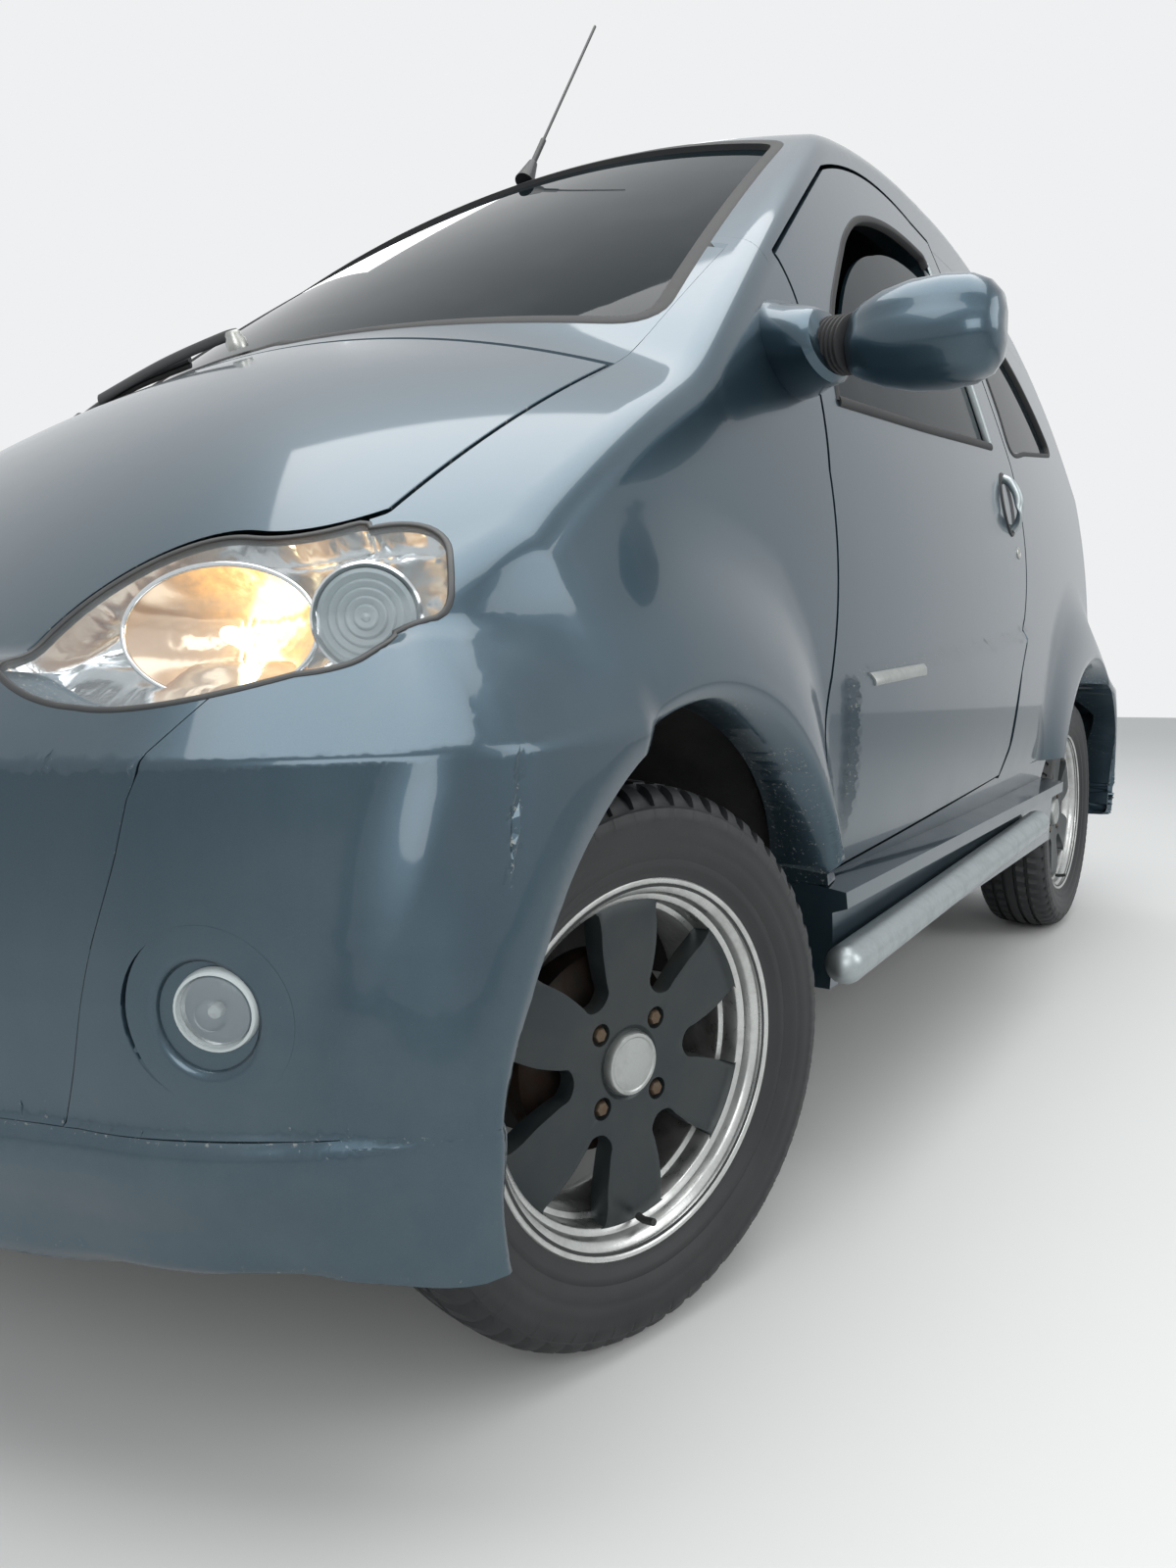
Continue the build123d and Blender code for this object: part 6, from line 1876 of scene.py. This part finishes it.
@dataclass
class Mirrors:
    """Door mirrors: painted foot, ribbed rubber neck, creased shell and silvered glass."""

    ribs: int = 11
    neck_radius: float = 0.0305
    neck_start: Point = (0.694, -0.526, 0.9745)
    neck_end: Point = (0.758, -0.5495, 0.9640)
    glass_at: Point = (0.838, -0.5365, 0.955)
    # foot on the fender: Y and Z in mm, half width along the car, half height; and the way that it leans
    FOOT: tuple[tuple[float, float, float, float], ...] = ((318, 988, 0.060, 0.058),
            (316, 987, 0.056, 0.054), (312, 986, 0.047, 0.046), (306, 984, 0.040, 0.041),)
    foot_lean: Point = (0.115, -0.062, -0.022)
    # centre, half width along the car, half height, squareness
    SHELL: tuple[tuple[Point, float, float, float], ...] = (
        ((0.752, -0.547, 0.9645), 0.0190, 0.0290, 2.1), ((0.757, -0.5485, 0.9640), 0.0235, 0.0330, 2.2),
        ((0.772, -0.5540, 0.9622), 0.0300, 0.0400, 2.4), ((0.795, -0.5590, 0.9595), 0.0370, 0.0478, 2.6),
        ((0.825, -0.5630, 0.9565), 0.0415, 0.0530, 2.7), ((0.858, -0.5660, 0.9535), 0.0420, 0.0540, 2.7),
        ((0.884, -0.5680, 0.9515), 0.0390, 0.0505, 2.6), ((0.900, -0.5695, 0.9500), 0.0330, 0.0430, 2.5),
        ((0.909, -0.5705, 0.9490), 0.0240, 0.0320, 2.3), ((0.9128, -0.5710, 0.9485), 0.0120, 0.0170, 2.1),
    )

    def foot(self) -> bpy.types.Object:
        """Cone that flows from the fender into the neck."""
        rings = []
        start, normals = on_form([(y, z) for y, z, _, _ in self.FOOT], View.SIDE)
        run = np.array(self.foot_lean)
        for i, (_, _, wide, high) in enumerate(self.FOOT):
            centre = start[i] + run * (-0.05 + 0.21 * i) - normals[i] * 0.004
            rings.append(oval(centre, (0.012, wide, 0.0), (-high * 0.26, 0.0, high), 40))
        rings.append(oval(start[-1] + run * 0.62, (0.010, 0.034, 0.0), (-0.008, 0.0, 0.034), 40))
        return lofted("mirror_foot", rings, SIDE_PAINT)

    def neck(self) -> bpy.types.Object:
        """Bellows between foot and shell."""
        start, end = np.array(self.neck_start), np.array(self.neck_end)
        length = float(np.linalg.norm(end - start))
        along = (end - start) / np.linalg.norm(end - start)
        crest, hollow, pitch = self.neck_radius, self.neck_radius - 0.0042, length / self.ribs
        profile = [(0.0002, 0.0)]
        for rib in range(self.ribs):
            low = rib * length / self.ribs
            profile += [(hollow, low), (crest, low + pitch * 0.3), (crest, low + pitch * 0.62)]
        profile += [(hollow, length), (0.0002, length)]
        return turned("mirror_bellows", profile, start, along, BLACK_RUBBER, 40)

    def shell(self) -> bpy.types.Object:
        """Shell with a crease along its front and a flat rear face."""
        rings = []
        for centre, wide, high, square in self.SHELL:
            ring = oval(centre, (0.0, -wide, 0.0), (0.0, wide * 0.10, high), 48, square)
            offset = ring - np.array(centre)
            # crease: the front bulges most a little below the middle
            front = np.clip(-offset[:, 1] / wide, 0, 1)
            level = offset[:, 2] / high + 0.12
            ring[:, 1] -= 0.0065 * front * np.clip(1 - np.abs(level) * 2.2, 0, 1) * (wide / 0.042)
            # the rear is cut off flat
            ring[:, 1] = np.minimum(ring[:, 1], centre[1] + wide * 0.62)
            rings.append(ring)
        return lofted("mirror_shell", rings, MIRROR_PAINT, angle=32)

    def glass(self) -> bpy.types.Object:
        """Mirror glass in a black frame, looking backwards."""
        centre = np.array(self.glass_at)
        rings = [oval(centre + (0, depth, 0), (0.056 * size, -0.004, 0.0), (0.0, 0.003, 0.041 * size), 40,
                2.6) for depth, size in ((-0.004, 1.0), (0.0015, 1.0), (0.0022, 0.97), (0.0005, 0.94))]
        frame = lofted("mirror_frame", rings, BLACK_PLASTIC, caps=False)
        rings = [oval(centre + (0, depth, 0), (0.0535, -0.004, 0.0), (0.0, 0.003, 0.0388), 40, 2.6)
                 for depth in (-0.004, 0.0008)]
        return weld(frame, [lofted("mirror_glass", rings, MIRROR_SILVER)])

    def build(self) -> None:
        """Make the left mirror and its mirror image."""
        for piece in (self.foot(), self.neck(), self.shell(), self.glass()):
            left, right = pair(piece, "car")
            if left.name == "mirror_shell_left":
                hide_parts("mirror_left")
                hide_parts("mirror_right")


@dataclass
class Seals:
    """Rubber and bright mouldings round the windows, laid along lines of the side view."""

    # how far below the surface a windscreen's outer face lies at most
    glass_depth: float = 0.0105
    DOOR_WINDOW: Points = ((439, 950), (446, 985), (470, 1040), (500, 1085), (538, 1126), (585, 1172),
            (630, 1212), (695, 1253), (765, 1280), (835, 1297), (900, 1307), (970, 1311), (1040, 1310),
            (1056, 1307), (1064, 1292))
    DOOR_SILL: Points = ((439, 950), (620, 960), (800, 971), (1000, 986), (1158, 998))
    DOOR_REAR: Points = ((1068, 1300), (1085, 1240), (1110, 1160), (1135, 1080), (1160, 1000))
    QUARTER: Points = ((1325, 1012), (1295, 1085), (1262, 1170), (1232, 1250), (1214, 1294), (1225, 1299),
            (1300, 1291), (1400, 1276), (1500, 1252), (1600, 1210), (1690, 1152), (1748, 1103), (1762, 1084),
            (1754, 1070), (1735, 1064), (1600, 1046), (1460, 1028))

    def side_strip(self, name: str, line: Points, section: Points, finish: Finish, body: str,
                   closed: bool = False) -> None:
        """Moulding on both sides of the car.

        Args:
            name: piece name.
            line: its line in the side view, in millimetres.
            section: pairs of sideways and outward metres.
            finish: its finish.
            body: body that it rides on, with {} for the side.
            closed: joins the ends.
        """
        path, normals = on_form(eased(np.array(line, float), 9.0, closed), View.SIDE)
        pair(strip(name, path, normals, section, finish, closed), body)

    def screen_loop(self, node: bpy.types.Object, name: str, body: str, width: float) -> None:
        """Gasket along the rim of a packed windscreen.

        Args:
            node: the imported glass.
            name: piece name.
            body: body that it rides on.
            width: width of the gasket in metres.
        """
        points, faces, face_normals = packed_mesh(node)
        d, g = FORM.measure(points)
        outside = (d[faces] > -self.glass_depth).all(1) & ((face_normals * g[faces[:, 0]]).sum(1) > 0.6)
        loop = max(rims(faces[outside]), key=len)
        path = eased(points[loop], 0.012, closed=True)
        for _ in range(2):
            path = (np.roll(path, 1, 0) + 2 * path + np.roll(path, -1, 0)) / 4
        path = FORM.touch(path)
        _, normals = FORM.measure(path)
        section = [(width * 0.55, -0.010), (width * 0.5, 0.0), (width * 0.2, 0.0011), (-width * 0.2, 0.0009),
                   (-width * 0.5, -0.004), (-width * 0.5, -0.010)]
        piece = strip(name, path, normals, section, BLACK_RUBBER, closed=True)
        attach(piece, body)
        report(piece)

    def build(self, frame: dict) -> None:
        """Lay every moulding."""
        bead, sill = half_round(0.0105, 0.0022, -0.009), half_round(0.014, 0.0038, -0.010)
        post, quarter = half_round(0.011, 0.003, -0.008), half_round(0.0095, 0.0020, -0.009)
        self.side_strip("window_seal", self.DOOR_WINDOW, bead, BLACK_RUBBER, "door_{}")
        self.side_strip("window_sill_seal", self.DOOR_SILL, sill, BLACK_RUBBER, "door_{}")
        self.side_strip("window_rear_strip", self.DOOR_REAR, post, SATIN_SILVER, "door_{}")
        self.side_strip("quarter_seal", self.QUARTER, quarter, BLACK_RUBBER, "car", closed=True)
        self.screen_loop(frame["nodes"]["windscreen"], "windscreen_gasket", "car", 0.024)
        self.screen_loop(frame["nodes"]["rear_glass"], "rear_glass_gasket", "tailgate", 0.020)


@dataclass
class DoorFittings:
    """Handle in its oval recess, lock and blank badge plate of each door."""

    handle_at: Point = (1195, 900)
    handle_half: Point = (30, 50)
    lock_at: Point = (1227, 816)
    plate: Points = ((432, 604), (617, 612), (617, 628), (432, 620))
    # share of the plate's size and lift from the skin in metres, from its foot to its middle
    PLATE_STEPS: Points = ((1.0, -0.001), (1.0, 0.0022), (0.985, 0.0032), (0.6, 0.0032), (0.1, 0.0032))

    def dish(self, depth: float, rim: float) -> bpy.types.Object:
        """Oval dish set in the door skin.

        Args:
            depth: depth of the dish in metres.
            rim: height of its raised rim.

        Returns:
            The piece.
        """
        (cy, cz), (wide, high) = self.handle_at, self.handle_half
        rings = []
        for share, lift in ((1.14, -0.004), (1.14, rim * 0.5), (1.08, rim), (1.0, rim * 0.6),
                (0.92, -depth * 0.2), (0.75, -depth * 0.55), (0.4, -depth * 0.6), (0.05, -depth * 0.6)):
            pairs = [(cy + math.cos(a) * wide * share, cz + math.sin(a) * high * share)
                     for a in np.linspace(0, 2 * math.pi, 40, endpoint=False)]
            rings.append(on_form(pairs, View.SIDE, lift)[0])
        return lofted("handle_dish", rings, BLACK_PLASTIC)

    def grip(self) -> bpy.types.Object:
        """Bow across the dish."""
        cy, cz = self.handle_at
        bow = [(cy + 8, cz - 44, 0.001), (cy + 6, cz - 34, 0.012), (cy + 2, cz - 12, 0.019),
               (cy, cz + 14, 0.019), (cy - 2, cz + 36, 0.012), (cy - 2, cz + 46, 0.001)]
        path = eased(np.array([on_form([(y, z)], View.SIDE, lift)[0][0] for y, z, lift in bow]), 0.004)
        return tube("handle_grip", path, 0.0078, SATIN_SILVER, 16, 0.6)

    def lock(self) -> bpy.types.Object:
        """Round lock below the handle."""
        at, out = (v[0] for v in on_form([self.lock_at], View.SIDE))
        profile = [(0.0108, -0.003), (0.0108, 0.0012), (0.0098, 0.0022), (0.0072, 0.0024), (0.0066, 0.0012),
                   (0.0002, 0.0012)]
        return turned("door_lock", profile, at, out, MACHINED, 28)

    def badge(self) -> bpy.types.Object:
        """Blank plate near the door's front edge."""
        outline = []
        for (y0, z0), (y1, z1) in zip(self.plate, self.plate[1:] + self.plate[:1]):
            outline += [(y0 + (y1 - y0) * t, z0 + (z1 - z0) * t) for t in np.linspace(0, 1, 10,
                    endpoint=False)]
        middle = np.array(self.plate, float).mean(0)
        rings = []
        for share, lift in self.PLATE_STEPS:
            pairs = middle + (np.array(outline) - middle) * (share, 0.9 * share if share < 1 else 1.0)
            rings.append(on_form(pairs, View.SIDE, lift)[0])
        return lofted("badge_plate", rings, CAP_SILVER)

    def build(self) -> None:
        """Make the fittings of both doors."""
        for piece in (self.dish(0.004, 0.0030), self.grip(), self.lock(), self.badge()):
            pair(piece, "door_{}")


@dataclass
class Wiper:
    """Single wiper parked low on the screen: spindle, flat arm, clips and jointed blade."""

    arm: Points = ((0.0, 79, 1070), (-40, 83, 1072), (-190, 97, 1067), (-380, 119, 1053))
    blade: Points = ((-150, 116, 1071), (-290, 124, 1065), (-380, 128, 1052), (-480, 140, 1036),
            (-580, 158, 1015))

    @staticmethod
    def line(points: Points) -> np.ndarray:
        """Points of the frame in metres from millimetres behind the front axle."""
        return (np.array(points, float) + (0, AXLE_Y / MM, 0)) * MM

    def build(self) -> None:
        """Make the wiper as one piece on the car."""
        arm = tube("wiper_detail", eased(self.line(self.arm), 0.01), 0.0075, BLACK_PLASTIC, 10, 0.45)
        blade_line = eased(self.line(self.blade), 0.01)
        parts = [tube("blade", blade_line + (0, 0, 0.001), 0.0048, BLACK_PLASTIC, 8, 0.7),
                 tube("blade_rubber", blade_line + (0, 0.002, -0.0065), 0.0042, BLACK_RUBBER, 8, 0.4)]
        for share in (0.1, 0.3, 0.52, 0.74, 0.92):
            at = blade_line[int(share * (len(blade_line) - 1))]
            claw = [at + (0.012, 0, 0.004), at + (0, 0, 0.0075), at + (-0.012, 0, 0.004)]
            parts.append(tube("claw", claw, 0.0042, BLACK_PLASTIC, 8))
        spindle = [(0.0135, -0.006), (0.0135, 0.004), (0.010, 0.009), (0.0102, 0.0125), (0.0075, 0.0165),
                   (0.0002, 0.0170)]
        parts.append(turned("spindle", spindle, self.line([(0, 79, 1058)])[0], (0, -0.45, 0.9), MACHINED, 24))
        weld(arm, parts)
        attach(arm, "car")
        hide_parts("wiper")
        report(arm)


@dataclass
class Seats:
    """Two cloth seats with sewn channels and rounded side bolsters."""

    across: float = 0.290
    half_width: float = 0.224
    bolster: float = 0.034
    channel_depth: float = 0.007
    channel_width: float = 0.007
    behind_axle: float = 0.880
    above_ground: float = 0.2625
    CHANNELS: tuple[float, ...] = (-0.126, -0.042, 0.042, 0.126)
    # outline of one seat from the side: mm behind the seat's middle, mm above its foot
    PROFILE: Points = ((-165, 4), (186, 4), (206, 60), (218, 130), (262, 310), (305, 500), (346, 690),
            (344, 722), (322, 740), (296, 738), (262, 724), (226, 694), (196, 600), (158, 430), (124, 282),
            (112, 258), (60, 256), (-100, 264), (-210, 266), (-240, 250), (-246, 226), (-236, 180),
            (-228, 130), (-200, 60))

    def build(self) -> None:
        """Make both seats as one piece on the car."""
        outline = eased(np.array(self.PROFILE, float) * MM, 0.016, closed=True)
        along = np.roll(outline, -1, 0) - np.roll(outline, 1, 0)
        inwards = np.stack([-along[:, 1], along[:, 0]], 1)
        inwards /= np.linalg.norm(inwards, axis=1)[:, None]
        flat = self.half_width - self.bolster
        quarter = np.linspace(0, math.pi / 2, 7)
        places = np.concatenate([-self.half_width + self.bolster * (1 - np.cos(quarter)),
                np.linspace(-self.half_width + self.bolster, flat, 45)[1:-1],
                self.half_width - self.bolster * (1 - np.cos(np.linspace(math.pi / 2, 0, 7)))])
        parts = []
        for middle in (-self.across, self.across):
            rings = []
            for x in places:
                past = max(abs(x) - flat, 0) / self.bolster
                inset = self.bolster * (1 - math.sqrt(max(1 - past * past, 0.0)))
                inset += sum(self.channel_depth * math.exp(-((x - c) / self.channel_width) ** 2)
                        for c in self.CHANNELS)
                ring = outline + inwards * inset
                rings.append(np.column_stack([np.full(len(ring), middle + x),
                        ring[:, 0] + AXLE_Y + self.behind_axle, ring[:, 1] + self.above_ground]))
            parts.append(lofted("seats_cloth", rings, CABIN_CLOTH))
        seats = weld(parts[0], parts[1:])
        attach(seats, "car")
        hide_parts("seats")
        report(seats)


# node starts, finish
STAYING: tuple[tuple[str, Finish], ...] = (("antenna", BLACK_PLASTIC), ("chassis", UNDERSEAL),
        ("cowl", BLACK_PLASTIC), ("dashboard", CABIN_PLASTIC), ("door_glass", WINDOW), ("engine", CASTING),
        ("fog_lamps", LENS), ("front_suspension", UNDERSEAL), ("grille", BLACK_PLASTIC), ("headlamp", LENS),
        ("knuckle", CASTING), ("mirror", PAINT), ("quarter_glasses", WINDOW), ("rear_axle", UNDERSEAL),
        ("rear_glass", WINDOW), ("rim", BRIGHT_ALLOY), ("seats", CABIN_CLOTH), ("side_tubes", TUBE_SILVER),
        ("sills", PAINT), ("steering_wheel", BLACK_RUBBER), ("tail_lamps", RED_LENS), ("tyre", BLACK_RUBBER),
        ("windscreen", WINDOW), ("door", PAINT), ("fender", PAINT), ("nose", PAINT), ("front", PAINT),
        ("roof", PAINT), ("quarter", PAINT), ("rear", PAINT), ("bonnet", PAINT), ("tailgate", PAINT),)


def dress_packed(frame: dict) -> None:
    """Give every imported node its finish."""
    for name, node in frame["nodes"].items():
        for start, finish in STAYING:
            if name.startswith(start):
                dress(node, finish)
                break


def main() -> None:
    """Build the studio and the car, and report each piece."""
    logging.basicConfig(level=logging.INFO, format="%(message)s")
    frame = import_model()
    Studio().build()
    dress_packed(frame)
    PressedPanels(frame=frame).build()
    Wheel().build()
    Headlamps().build(frame)
    FogLamps().build()
    TailLamps().build(frame)
    Mirrors().build()
    Seals().build(frame)
    DoorFittings().build()
    Wiper().build()
    Seats().build()


if __name__ == "__main__":
    main()
